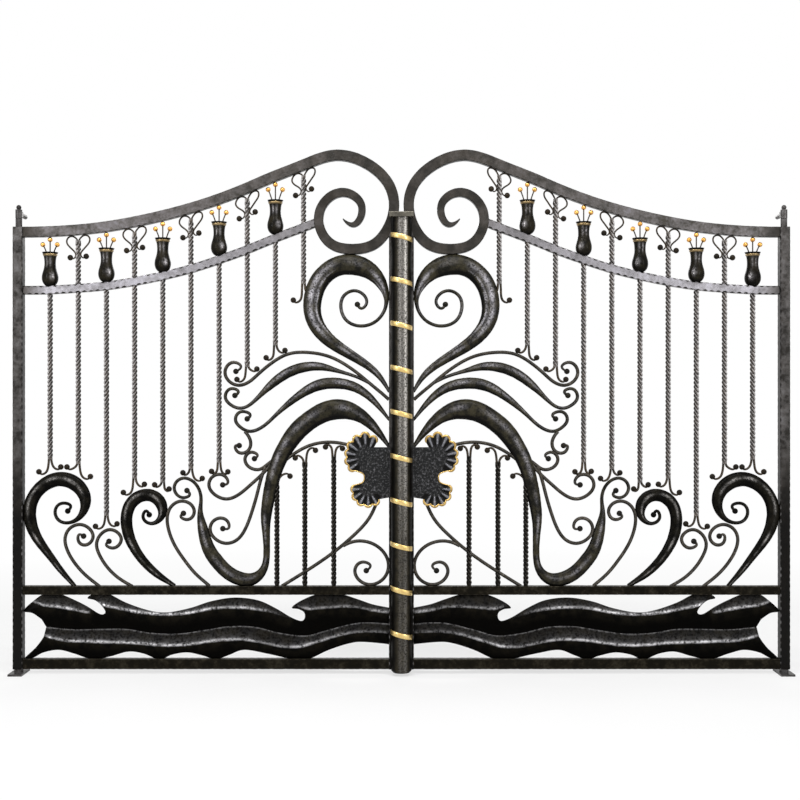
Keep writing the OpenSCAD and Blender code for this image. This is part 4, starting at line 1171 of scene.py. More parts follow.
HOOK_IRON = IronFinish("blackened_hook_iron", "dark_iron", (0.002, 0.0019, 0.0016), (0.013, 0.0115, 0.008),
                       (0.5, 0.48, 0.46), 0.7, 0.1, 0.0, grain=36.0, gloss=0.32, ior=1.1)
SLIM_IRON = IronFinish("slim_scroll_iron", "dark_iron", (0.0095, 0.0085, 0.0065), (0.036, 0.028, 0.017),
                       (0.22, 0.205, 0.185), 0.7, 0.26, 0.1, ior=1.15)
TAIL_IRON = IronFinish("split_tail_iron", "dark_iron", (0.018, 0.0145, 0.01), (0.055, 0.037, 0.02),
                       (0.14, 0.12, 0.1), 0.8, 0.26, 0.1, ior=1.15)
TWIST_IRON = IronFinish("twisted_bar_iron", "twisted_iron", (0.026, 0.0225, 0.019), (0.072, 0.052, 0.034),
                        (0.54, 0.515, 0.51), 0.8, 0.2, 0.2)
GRILLE_IRON = IronFinish("grille_bar_iron", "twisted_iron", (0.005, 0.0046, 0.004), (0.016, 0.0125, 0.008),
                         (0.12, 0.112, 0.1), 0.6, 0.2, 0.0, ior=1.1)
CUP_IRON = IronFinish("tulip_cup_iron", "cup_iron", (0.005, 0.0045, 0.0034), (0.021, 0.0175, 0.0105),
                      (0.46, 0.44, 0.45), 0.8, 0.12, 0.0, strength=0.1, gloss=0.36, ior=1.13)
WAVE_IRON = IronFinish("formed_wave_iron", "wave_iron", (0.003, 0.0028, 0.0024), (0.012, 0.0102, 0.0068),
                       (0.7, 0.69, 0.71), 0.7, 0.1, 0.0, strength=0.3, gloss=0.3, ior=1.06)
PLATE_IRON = IronFinish("stippled_plate_iron", "plate_iron", (0.011, 0.0115, 0.0125), (0.022, 0.021, 0.017),
                        (0.26, 0.26, 0.285), 0.5, 0.34, 0.1, grain=120.0, blows=300.0, depth=0.0008,
                        strength=0.8, ior=1.18)
TUBE_IRON = IronFinish("knurled_tube_iron", "tube_iron", (0.014, 0.0125, 0.009), (0.04, 0.033, 0.021),
                       (0.32, 0.305, 0.285), 0.6, 0.16, 0.0, grain=42.0, ior=1.12)
BEAD_GILT = GiltFinish("stamen_gilt", "gilt", (0.78, 0.42, 0.11), (0.4, 0.17, 0.03), 0.6)
BAND_GILT = GiltFinish("band_gilt", "gilt", (0.8, 0.6, 0.25), (0.55, 0.34, 0.09), 0.6)
EDGE_GILT = GiltFinish("plate_edge_gilt", "gilt", (0.6, 0.41, 0.14), (0.26, 0.15, 0.04), 0.8)
RING_GILT = GiltFinish("cup_ring_gilt", "gilt", (0.3, 0.22, 0.11), (0.13, 0.085, 0.035), 0.8)


def hang(piece: bpy.types.Object, finish: Finish, body: str, nodes: Sequence[str]) -> None:
    """Let a piece ride on its body in place of its solids, and report it.

    Args:
        piece: the piece.
        finish: finish of the piece; not used.
        body: body that it rides on.
        nodes: solids that it stands for.
    """
    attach(piece, body)
    if nodes:
        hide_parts(*nodes)
    LOG.info("%s: %d faces", piece.name, len(piece.data.polygons))


@dataclass
class SubAssembly:
    """Part of a leaf that makes and dresses its own pieces.

    Rods, tails and twists are alike all over the leaf. A tail's steps are shares of its way across and down
    to its ball, and its dip below the ball in radii.
    """

    side: Side
    rail_spacing: float = 3.2
    rod_spacing: float = 4.0
    rod_sides: int = 12
    rod_dent: float = 0.35
    rod_blow: float = 12.0
    tail_w_px: float = 2.4
    tail_sides: int = 10
    tail_steps: Rows = (
        (0.05, 0.45, 0), (0.42, 1, 0.55), (0.8, 1, 0.8), (1, 1, 0))
    turn: float = 69.0

    def piece(self, draft: MeshDraft, name: str, finish: Finish, *nodes: str) -> None:
        """Make a piece of this leaf that stands for some of its solids.

        Args:
            draft: shells of the piece.
            name: name without the side.
            finish: finish of the piece.
            nodes: names of the solids it stands for, without the side.
        """
        side = self.side.value
        piece = draft.to_object(f"{side}_{name}", finish.material(), self.side is Side.RIGHT)
        hang(piece, finish, self.side.body, [f"{side}_{node}" for node in nodes])

    def tail(self, x_px: float, end_row: float, ball: Sequence[float], up: int) -> Spine:
        """Tail of a split bar, which leaves the bar and turns into a ball end.

        Args:
            x_px: pixel column of the bar.
            end_row: pixel row where the twist ends.
            ball: pixel place of the ball.
            up: 1 for a foot that turns up again, -1 for a head that turns down.

        Returns:
            Spine of the tail.
        """
        root = x_px + math.copysign(self.tail_w_px / 2, ball[0] - x_px)
        rows = [(root, end_row - up * self.tail_w_px)]
        for reach, drop, dip in self.tail_steps:
            rows.append((
                root + (ball[0] - root) * reach,
                end_row + (ball[1] - end_row) * drop + up * SIZES.ball_px * dip,
            ))
        return Spine.through(tapered(SIZES.stations(rows, self.tail_w_px)), self.rod_spacing)

    @cached_property
    def top_rail(self) -> Spine:
        """Spine of the arched top rail."""
        return Spine.through(SIZES.stations(TOP_RAIL_PX), self.rail_spacing)

    @cached_property
    def frieze_rail(self) -> Spine:
        """Spine of the frieze rail."""
        return Spine.through(SIZES.stations(FRIEZE_RAIL_PX), self.rail_spacing)

    def build(self) -> None:
        """Make the pieces."""
        raise NotImplementedError


@dataclass
class LeafFrame(SubAssembly):
    """Stiles and rails of a leaf."""

    bite: float = 1.0
    edge_cut: float = 1.6
    edge_notch: float = 2.6
    waist_share: float = 0.6
    top_share: float = 0.5
    frieze_notch: float = 6.5
    rail_shine: float = 0.5
    dark_rise: Pair = (610.0, 940.0)
    low_dark: float = 0.95
    blow_shine: float = 1.65
    dark_run: Pair = (500.0, 900.0)
    top_dark: float = 0.62
    frieze_dark: float = 0.5
    dark_cloud: float = 0.35
    cloud_run: float = 32.0
    root_dark: float = 0.75
    root_run: float = 90.0
    blow_pitch: float = 27.0
    spacing: float = 4.6
    bore_r: float = 7.08
    bore_depth: float = 31.0
    knuckle_r: float = 13.5
    knuckle_h: float = 35.0
    knuckle_cut: float = 2.0
    head_room: float = 2.0
    top_depth: float = 30.0
    frieze_depth: float = 26.0
    meeting_head: Triple = (236.0, 222.0, 394.8)

    def bar(self, spine: Spine, half_d: float, notch: float) -> tuple[Array, Array]:
        """Rings of an oblong bar, and the darkening in its blows and along its sides."""
        rings = MeshDraft().square_bar(spine, half_d, self.edge_cut, notch, self.blow_pitch)
        return rings[..., :3], rings[..., 3]

    def blackened(self, rings: Array, wear_and_light: Array) -> Array:
        """Wear and darkening of a stile that turns black towards the ground, where only the blows on its
        edges shine.

        Args:
            rings: rings of the stile.
            wear_and_light: wear in its blows.

        Returns:
            The new wear.
        """
        low, high = self.dark_rise
        darkening = np.clip((high - rings[..., 2]) / (high - low), 0, 1)
        blow = np.clip(-2 * wear_and_light - 1, 0, 1)
        return wear_and_light * (1 - darkening) + darkening * (self.blow_shine * blow - self.low_dark)

    def round_rings(self, ring: Array, steps: Rows) -> Array:
        """Round rings about the hinge axis that follow the points of a ring.

        Args:
            ring: ring whose points give the angles.
            steps: radius and height of each ring.

        Returns:
            The rings.
        """
        angle = np.arctan2(ring[:, 1], ring[:, 0])
        flat = np.column_stack([np.cos(angle), np.sin(angle), np.zeros(len(angle))])
        return np.array([flat * r + (0, 0, z) for r, z in steps])

    def hinge_stile(self) -> None:
        """Stile on the hinge axis, with its pin bores and its knuckle."""
        half = SIZES.stile_w / 2
        foot, top = SIZES.ground_gap, SIZES.stile_top
        rings, wear_and_light = self.bar(Spine.straight((0, foot), (0, top), half, self.spacing), half, self.edge_notch)
        below = self.round_rings(rings[0], [(self.bore_r, foot + self.bore_depth), (self.bore_r, foot)])
        head = top + self.knuckle_h
        above = self.round_rings(rings[-1], [
            (self.knuckle_r, top), (self.knuckle_r, head - self.knuckle_cut),
            (self.knuckle_r - self.knuckle_cut, head), (self.bore_r, head),
            (self.bore_r, head - self.bore_depth)])
        plain = np.zeros_like(wear_and_light[:1])
        draft = MeshDraft()
        draft.sweep(np.vstack([below, rings, above]),
                    np.vstack([*[plain] * len(below), self.blackened(rings, wear_and_light), *[plain] * len(above)]))
        self.piece(draft, "hinge_stile_forging", STILE_STEEL, "hinge_stile")

    def meeting_stile(self) -> None:
        """Stile at the middle of the gate, cut to the volute above it."""
        half = SIZES.stile_w / 2
        low_row, high_row, turn_px = self.meeting_head
        middle = SIZES.meet_in + half
        top = SIZES.z(low_row) - self.head_room
        spine = Spine.straight((middle, SIZES.ground_gap), (middle, top), half, self.spacing)
        rings, wear_and_light = self.bar(spine, half, self.edge_notch)
        head = rings[-1].copy()
        share = np.clip((head[:, 0] - SIZES.meet_in) / (SIZES.x(turn_px) - SIZES.meet_in), 0, 1)
        head[:, 2] = SIZES.z(low_row) + share * (SIZES.z(high_row) - SIZES.z(low_row))
        draft = MeshDraft()
        draft.sweep(np.vstack([rings, head[None]]), np.vstack([self.blackened(rings, wear_and_light), wear_and_light[-1:]]))
        self.piece(draft, "meeting_stile_forging", STILE_STEEL, "meeting_stile")

    def rail(self, name: str, low: float, high: float, notch: float, finish: IronFinish) -> None:
        """Straight rail between the stiles.

        Args:
            name: name of its solid.
            low: height of its underside.
            high: height of its top.
            notch: depth of the blows on its edges.
            finish: its finish.
        """
        middle = (low + high) / 2
        start, end = SIZES.stile_in - self.bite, SIZES.meet_in + self.bite
        spine = Spine.straight((start, middle), (end, middle), (high - low) / 2, self.spacing)
        draft = MeshDraft()
        rings, wear_and_light = self.bar(spine, SIZES.rail_d / 2, notch)
        draft.sweep(rings, -self.rail_shine * wear_and_light)
        self.piece(draft, f"{name}_forging", finish, name)

    def arched_rail(self, name: str, spine: Spine, depth: float, notch: float, finish: IronFinish,
                    darkening: float) -> None:
        """Rail on a curved spine, from the hinge stile on.

        Args:
            name: name of its solid.
            spine: its centre line.
            depth: its depth.
            notch: depth of the blows on its edges.
            finish: its finish.
            darkening: darkening that grows towards the end of the rail.
        """
        kept = Spine(spine.rows[spine.rows[:, 0] > SIZES.stile_in - self.bite])
        rings, wear_and_light = self.bar(kept, depth / 2, notch)
        run = run_lengths(kept.rows)
        grown = darkening * np.clip((run - self.dark_run[0]) / self.dark_run[1], 0, 1)
        grown *= 1 + self.dark_cloud * wander(run / self.cloud_run, 3.3)
        grown += self.root_dark * np.clip(1 - run / self.root_run, 0, 1)
        draft = MeshDraft()
        draft.sweep(rings, np.maximum(wear_and_light - grown[:, None], -1))
        self.piece(draft, f"{name}_forging", finish, name)

    def build(self) -> None:
        """Make the stiles and rails."""
        self.hinge_stile()
        self.meeting_stile()
        notch = self.edge_notch
        self.rail("bottom_rail", SIZES.ground_gap, SIZES.panel_foot, notch, WAIST_IRON)
        self.rail("waist_rail", SIZES.panel_top, SIZES.waist_top, notch * self.waist_share, WAIST_IRON)
        self.arched_rail("top_rail", self.top_rail, self.top_depth, notch * self.top_share, RAIL_STEEL,
                         self.top_dark)
        self.arched_rail("frieze_rail", self.frieze_rail, self.frieze_depth, self.frieze_notch, FRIEZE_SILVER,
                         self.frieze_dark)


@dataclass
class PicketRow(SubAssembly):
    """Twisted picket bars with their split feet, and the hearts at the heads of the long ones."""

    first_px: float = 52.2
    step_px: float = 27.95
    lobe_w_px: float = 1.7

    def column(self, index: int) -> float:
        """Pixel column of a bar."""
        return self.first_px + index * self.step_px

    def head(self, index: int) -> float:
        """Height of a bar's upper end: a long bar ends in its heart, a short one in the frieze rail.

        Args:
            index: Bar, counted from the hinge stile.

        Returns:
            The height in mm.
        """
        x = SIZES.x(self.column(index))
        if index % 2:
            return self.top_rail.height_at(x) - (HEART_LOBE_PX[0][1] - self.tail_w_px) * SIZES.tall
        return self.frieze_rail.height_at(x)

    def lobe(self, index: int, out: int) -> Spine:
        """One lobe of a heart, along the slope of the top rail.

        Args:
            index: number of the bar.
            out: 1 or -1 for the side of the bar.

        Returns:
            Spine of the lobe.
        """
        x = SIZES.x(self.column(index))
        level, slope = self.top_rail.height_at(x), self.top_rail.slope_at(x)
        half_w = self.lobe_w_px * SIZES.tall / 2
        rows = []
        for across, down in HEART_LOBE_PX:
            along = out * across * SIZES.wide
            rows.append((x + along, level + along * slope - down * SIZES.tall, half_w))
        return Spine.through(tapered(np.array(rows)), self.rod_spacing)

    def build(self) -> None:
        """Make the bars, their tails and their hearts."""
        bars, tails = MeshDraft(), MeshDraft()
        for index, (row, *balls) in enumerate(BAR_FEET_PX):
            column = self.column(index)
            bars.twisted_bar(SIZES.x(column), SIZES.z(row), self.head(index), SIZES.bar_w / 2, self.turn)
            for ball in balls:
                tails.curl(self.tail(column, row, ball, 1), self.tail_sides)
            if index % 2:
                for out in (-1, 1):
                    tails.curl(self.lobe(index, out), self.tail_sides)
        self.piece(bars, "twisted_pickets", TWIST_IRON, "picket_bars")
        self.piece(tails, "picket_tails", TAIL_IRON)


@dataclass
class TulipRow(SubAssembly):
    """Tulip cups on the frieze rail, with gilt rings and stamens."""

    pickets: PicketRow = field(init=False)
    cup_h: float = 134.0
    cup_dia: float = 65.0
    cup_sides: int = 40
    bead_dia: float = 20.0
    bead_sides: int = 24
    bead_gap: float = 1.0
    bead_step: float = 20.0
    bead_spread: float = 29.0
    stalk_r: float = 2.6
    stalk_sides: int = 8
    stalk_spacing: float = 5.0
    stalk_bow: Pair = (1.5, 2.0)
    root_x: float = 9.0
    floor_share: float = 0.84
    # Profile of a cup in shares of its diameter and height, up the outside and down the inside.
    outer: Rows = (
        (0.1, -0.06), (0.19, -0.025), (0.33, 0.02), (0.43, 0.085), (0.485, 0.16), (0.5, 0.24), (0.48, 0.33),
        (0.43, 0.42), (0.375, 0.52), (0.345, 0.62), (0.345, 0.72), (0.365, 0.82), (0.405, 0.9), (0.45, 0.96),
        (0.49, 1))
    inner: Rows = (
        (0.47, 1.0), (0.41, 0.945), (0.34, 0.88), (0.15, 0.845), (0, 0.84))
    profile_steps: tuple[int, int] = (5, 3)
    ring_shares: Pair = (0.885, 0.945)
    ring_t: float = 1.4
    ring_swell: tuple[float, ...] = (0, 0.8, 1.1, 1.1, 0.8, 0)
    ring_bite: float = 1.0
    # Painted highlights of a cup: turn from its front, share of its height, and the reach of each.
    belly_turn: float = 0.55
    belly_level: float = 0.27
    belly_reach: Pair = (0.3, 0.085)
    belly_highlight: float = 0.62
    neck_turns: Pair = (-0.35, 0.3)
    neck_level: float = 0.72
    neck_reach: Pair = (0.16, 0.13)
    neck_highlight: float = 0.4
    # Painted shade at a cup's foot and back, and a darker lip: where each starts, its reach, and the most of
    # it at the back.
    foot_shade: Pair = (0.1, 0.12)
    lip_dark: Pair = (0.95, 0.03)
    back_shade: Triple = (0.85, 0.4, 0.9)

    def __post_init__(self) -> None:
        """Look at the picket bars for the places of the cups."""
        self.pickets = PicketRow(self.side)

    def foot(self, index: int) -> Array:
        """Middle of a cup's foot on the frieze rail."""
        x = SIZES.x(self.pickets.column(index))
        return np.array([x, 0, self.frieze_rail.height_at(x) + self.frieze_rail.half_height_at(x)])

    def bead_z(self, x: float) -> float:
        """Height of the middle bead under the top rail."""
        underside = self.top_rail.height_at(x) - self.top_rail.half_height_at(x)
        return underside - self.bead_dia / 2 - self.bead_gap

    def ring_profile(self, outer: Array) -> Array:
        """Profile of the gilt ring that lies on a cup's neck.

        Args:
            outer: Profile of the cup's outside.

        Returns:
            Rows of radius and height.
        """
        heights = np.linspace(*(share * self.cup_h for share in self.ring_shares), len(self.ring_swell))
        radius = np.interp(heights, outer[:, 1], outer[:, 0])
        swell = np.array(self.ring_swell) * self.ring_t
        back = np.column_stack([radius[::-1] - self.ring_bite, heights[::-1]])
        return np.vstack([np.column_stack([radius + swell, heights]), back])

    def cup_painted_light(self, profile: Array) -> Array:
        """Painted light of a cup: painted highlights low on its belly and along its neck, painted shade at
        its foot, at its back and inside it, and a darker lip.

        Args:
            profile: rows of radius and height.

        Returns:
            Painted highlights and painted shade at each row and side.
        """
        level = (profile[:, 1] / self.cup_h)[:, None]
        turn = np.linspace(0, 2 * np.pi, self.cup_sides, endpoint=False)[None, :]
        turn = (turn + 0.5 * np.pi) % (2 * np.pi)
        turn = np.minimum(turn, 2 * np.pi - turn) * np.where(turn > np.pi, -1, 1)
        # Painted highlights low on the belly and along the neck.
        belly = bell(turn - self.belly_turn, self.belly_reach[0])
        belly = belly * bell(level - self.belly_level, self.belly_reach[1])
        neck = sum(bell(turn - at, self.neck_reach[0]) for at in self.neck_turns)
        neck = neck * bell(level - self.neck_level, self.neck_reach[1])
        # Painted shade at the foot and back, and a darker lip.
        foot = np.clip((self.foot_shade[0] - level) / self.foot_shade[1], 0, 1)
        lip = np.clip((level - self.lip_dark[0]) / self.lip_dark[1], 0, 1)
        back = np.clip((np.abs(turn) - self.back_shade[0]) / self.back_shade[1], 0, self.back_shade[2])
        wear_and_light = self.belly_highlight * belly + self.neck_highlight * neck - (foot + lip) - back
        # Rows inside the cup get full painted shade.
        return np.where(np.arange(len(profile))[:, None] < np.argmax(profile[:, 1]), wear_and_light, -1.0)

    def build(self) -> None:
        """Make the cups, rings, stalks and beads."""
        cups, rings, stalks, beads = MeshDraft(), MeshDraft(), MeshDraft(), MeshDraft()
        scale = np.array([self.cup_dia, self.cup_h])
        outer, inner = (
            smooth_rows(np.array(rows) * scale, steps)
            for rows, steps in zip((self.outer, self.inner), self.profile_steps))
        profile = np.vstack([outer, inner])
        for index in range(0, len(BAR_FEET_PX), 2):
            foot = self.foot(index)
            cups.lathe(foot, profile, self.cup_sides, self.cup_painted_light(profile))
            rings.lathe(foot, self.ring_profile(outer), self.cup_sides)
            floor = foot + (0, 0, self.floor_share * self.cup_h)
            rise = self.bead_z(foot[0]) - floor[2]
            for out in (-1, 0, 1):
                start = floor + (out * self.root_x, 0, 0)
                end = floor + (out * self.bead_spread, 0, rise - abs(out) * self.bead_step)
                bow = (start + end) / 2 + (-out * self.stalk_bow[0], 0, self.stalk_bow[1])
                line = np.array([(*spot[[0, 2]], self.stalk_r) for spot in (start, bow, end)])
                stalks.oval_bar(Spine.through(line, self.stalk_spacing), self.stalk_sides)
                beads.ball(end, self.bead_dia / 2, self.bead_sides)
        self.piece(cups, "tulip_cup_shells", CUP_IRON, "tulip_cups")
        self.piece(rings, "tulip_cup_rings", RING_GILT)
        self.piece(stalks, "stamen_stalks", TAIL_IRON)
        self.piece(beads, "stamen_beads", BEAD_GILT, "gilt_stamens")


@dataclass
class ForgedScrolls(SubAssembly):
    """Thick scrolls that taper to slim curls."""

    spacing: float = 5.0
    sides: int = 32
    dent: float = 0.9

    def build(self) -> None:
        """Make the heart, the plumes, the swan arm and the wave hooks."""
        # Each group's PaintedBarLight sets the painted highlight streaks and painted shade of its bars.
        groups: dict[str, tuple[PaintedBarLight, IronFinish, list[Rows]]] = {
            "heart_scroll": (
                PaintedBarLight(0.95, 0.24, second=0.9, steady=0.6, upright=0.75), FORGED_IRON, [HEART_PX]),
            "plumes": (PaintedBarLight(0.38, 0.3), FORGED_IRON, [MIDDLE_PLUME_PX, LOWER_PLUME_PX]),
            "swan_arm": (PaintedBarLight(0.6, 0.22, steady=0.45, upright=0.55), FORGED_IRON, [SWAN_ARM_PX]),
            "wave_hooks": (PaintedBarLight(1.0, 0.15, steady=0.3), HOOK_IRON, [LARGE_HOOK_PX, SMALL_HOOK_PX]),
        }
        for name, (bar_light, finish, tables) in groups.items():
            draft = MeshDraft()
            for table in tables:
                spine = Spine.through(SIZES.stations(table), self.spacing).rooted()
                draft.curl(spine, self.sides, self.dent, bar_light=bar_light)
            self.piece(draft, f"{name}_forging", finish, name)


@dataclass
class SlimScrolls(SubAssembly):
    """Slim scrolls of one width."""

    width_px: float = SIZES.slim_w_px

    def build(self) -> None:
        """Make the slim scrolls."""
        draft = MeshDraft()
        for table in SLIM_SCROLLS_PX.values():
            stations = tapered(SIZES.stations(table, self.width_px))
            spine = Spine.through(stations, self.rod_spacing).rooted()
            draft.curl(spine, self.rod_sides, self.rod_dent, self.rod_blow)
        self.piece(draft, "slim_scroll_rods", SLIM_IRON, "slim_scrolls")


@dataclass
class LockGrille(SubAssembly):
    """Grille bars and rods below the swan arm, and half of the lock plate with its gilt edge."""

    plate_t: float = 5.0
    plate_spacing: float = 2.8
    plate_sink: float = 1.2
    plate_lap: float = 5.0
    plate_front: float = -25.0
    lobe_px: float = 4.4
    notch_px: Pair = (374, 447)
    foot_row: float = 497
    upper_hub_px: Pair = (366, 457)
    lower_hub_px: Pair = (368, 488)
    lobe_points: int = 9
    waist_steps: int = 6
    edge_r: float = 2.4
    tip_r: float = 6.0
    edge_sides: int = 10
    edge_spacing: float = 2.0
    edge_sink: float = 0.4
    flute: float = 6.5
    # Shares of a fan's reach where its flutes start and stand in full, and where their painted highlights and
    # shade do.
    flute_rise: Pair = (0.42, 0.67)
    light_rise: Pair = (0.5, 0.7)
    light_reach: float = 1.6
    flute_highlight: float = 1.9
    most_highlight: float = 0.8
    foot_bite: float = 2.0

    def grille(self) -> None:
        """Make the twisted bars, the arch, the diagonal and the curl."""
        bars, tails, rods = MeshDraft(), MeshDraft(), MeshDraft()
        for px, row, balls in GRILLE_BARS_PX:
            foot = SIZES.waist_top - self.foot_bite
            bars.twisted_bar(SIZES.x(px), foot, SIZES.z(row), SIZES.bar_w / 2, self.turn)
            for ball in balls:
                tails.curl(self.tail(px, row, ball, -1), self.tail_sides)
        blows = (self.rod_sides, self.rod_dent, self.rod_blow)
        for table in (ARCH_PX, DIAGONAL_PX):
            stations = SIZES.stations(table, SIZES.slim_w_px)
            rods.oval_bar(Spine.through(stations, self.rod_spacing).rooted(), *blows)
        stations = tapered(SIZES.stations(GRILLE_CURL_PX, SIZES.slim_w_px))
        rods.curl(Spine.through(stations, self.rod_spacing), *blows)
        self.piece(bars, "twisted_grille_bars", GRILLE_IRON, "grille_bars")
        self.piece(tails, "grille_bar_tails", TAIL_IRON)
        self.piece(rods, "grille_rods", SLIM_IRON, "grille_scrolls")

    def place(self, rows: Rows) -> Array:
        """Points of the plate for pixel rows."""
        return SIZES.stations(rows, 0)[:, :2]

    def scallops(self, lobes: Array, radius: float) -> Array:
        """Scalloped edge round a row of lobes.

        Args:
            lobes: middle of each lobe, in order.
            radius: radius of a lobe.

        Returns:
            Points of the edge.
        """
        points: list[Array] = []
        for i, spot in enumerate(lobes):
            reaches = []
            for j in (i - 1, i + 1):
                if 0 <= j < len(lobes):
                    a, b = (lobes[j], spot) if j < i else (spot, lobes[j])
                    run = (b - a) / np.linalg.norm(b - a)
                    sag = math.sqrt(radius**2 - (np.linalg.norm(b - a) / 2) ** 2)
                    reaches.append((a + b) / 2 + np.array([-run[1], run[0]]) * sag - spot)
                else:
                    reaches.append(spot - lobes[i + 1] if j < 0 else spot - lobes[i - 1])
            start, end = (math.atan2(reach[1], reach[0]) for reach in reaches)
            end = end if end < start else end - 2 * math.pi
            angle = np.linspace(start, end, self.lobe_points)
            points.append(spot + radius * np.column_stack([np.cos(angle), np.sin(angle)]))
        return np.vstack(points)

    def fluted(self, points: Array, hub: Array, lobes: Array) -> Array:
        """Height of a fan of flutes: a ridge along each lobe and a groove between two.

        Args:
            points: points of the plate.
            hub: point that the flutes run from.
            lobes: middle of each lobe.

        Returns:
            Height at each point, from 0 to 1.
        """
        offset = points - hub
        reach = np.linalg.norm(offset, axis=1)
        angle = np.unwrap(np.arctan2(*(lobes - hub).T[::-1]))
        order = np.argsort(angle)
        own = np.arctan2(offset[:, 1], offset[:, 0])
        own = angle.mean() + (own - angle.mean() + np.pi) % (2 * np.pi) - np.pi
        near = np.clip(own, angle.min(), angle.max())
        past = (own - near) / np.diff(angle[order]).mean()
        number = np.interp(near, angle[order], np.arange(len(lobes))) + past
        ridge = 0.5 + 0.5 * np.cos(2 * np.pi * number)
        full = np.linalg.norm(lobes - hub, axis=1).mean()
        start, stop = self.flute_rise
        rim = np.clip((reach / full - start) / (stop - start), 0, 1)
        return np.where(np.abs(past) > 0.5, 0, ridge * rim * rim * (3 - 2 * rim))

    def plate(self) -> None:
        """Make the plate with its two fans, and the gilt edge along them."""
        radius = self.lobe_px * SIZES.tall
        upper, lower = self.place(UPPER_LOBES_PX), self.place(LOWER_LOBES_PX)
        notch = self.place([self.notch_px])
        lap_x = SIZES.meet_in + self.plate_lap
        lower_edge, upper_edge = self.scallops(lower, radius), self.scallops(upper, radius)
        waist = np.vstack([lower_edge[-1:], self.place(PLATE_WAIST_PX), upper_edge[:1]])
        waist = smooth_rows(waist, self.waist_steps)[1:-1]
        edge = np.vstack([lower_edge, waist, upper_edge])
        outline = np.vstack([[(lap_x, notch[0, 1]), (lap_x, SIZES.z(self.foot_row))], edge, notch])
        hubs = self.place([self.upper_hub_px, self.lower_hub_px])

        def front(points: Array) -> Array:
            """Front of the plate, raised along the flutes."""
            fan = np.maximum(self.fluted(points, hubs[0], upper), self.fluted(points, hubs[1], lower))
            return self.plate_front + self.plate_sink - self.flute * fan

        def back(points: Array) -> Array:
            """Flat back of the plate."""
            return np.full(len(points), self.plate_front + self.plate_t)

        def wear_and_light(points: Array) -> Array:
            """Painted light of the plate: painted highlights on the ridges and painted shade in the grooves
            of the fans.

            Args:
                points: points of the plate.

            Returns:
                Painted light at each point.
            """
            total = np.zeros(len(points))
            start, stop = self.light_rise
            for hub, lobes in zip(hubs, (upper, lower)):
                full = np.linalg.norm(lobes - hub, axis=1).mean()
                reach = np.linalg.norm(points - hub, axis=1) / full
                out = np.clip((reach - start) / (stop - start), 0, 1)
                near = np.linalg.norm(points[:, None] - lobes, axis=2).min(1) < self.light_reach * radius
                # Painted highlights on the flute ridges and painted shade in the grooves.
                total += near * out * (self.flute_highlight * self.fluted(points, hub, lobes) ** 2 - 1)
            return np.clip(total, -1, self.most_highlight)

        draft = MeshDraft()
        draft.relief(outline, self.plate_spacing, front, back, wear_and_light)
        self.piece(draft, "lock_plate_relief", PLATE_IRON, "lock_plate")
        swell = np.sin(np.pi * np.arange(self.lobe_points) / (self.lobe_points - 1))
        bulb = self.edge_r + (self.tip_r - self.edge_r) * swell
        rim = np.concatenate([
            np.tile(bulb, len(lower)), np.full(len(waist), self.edge_r), np.tile(bulb, len(upper))])
        rings = MeshDraft()
        spine = Spine(evenly(np.column_stack([edge, rim]), self.edge_spacing))
        rings.oval_bar(spine, self.edge_sides)
        rings.points[0] = rings.points[0] + (0, self.plate_front - self.edge_sink, 0)
        self.piece(rings, "lock_plate_gilt_edge", EDGE_GILT)

    def build(self) -> None:
        """Make the grille and the plate."""
        self.grille()
        self.plate()


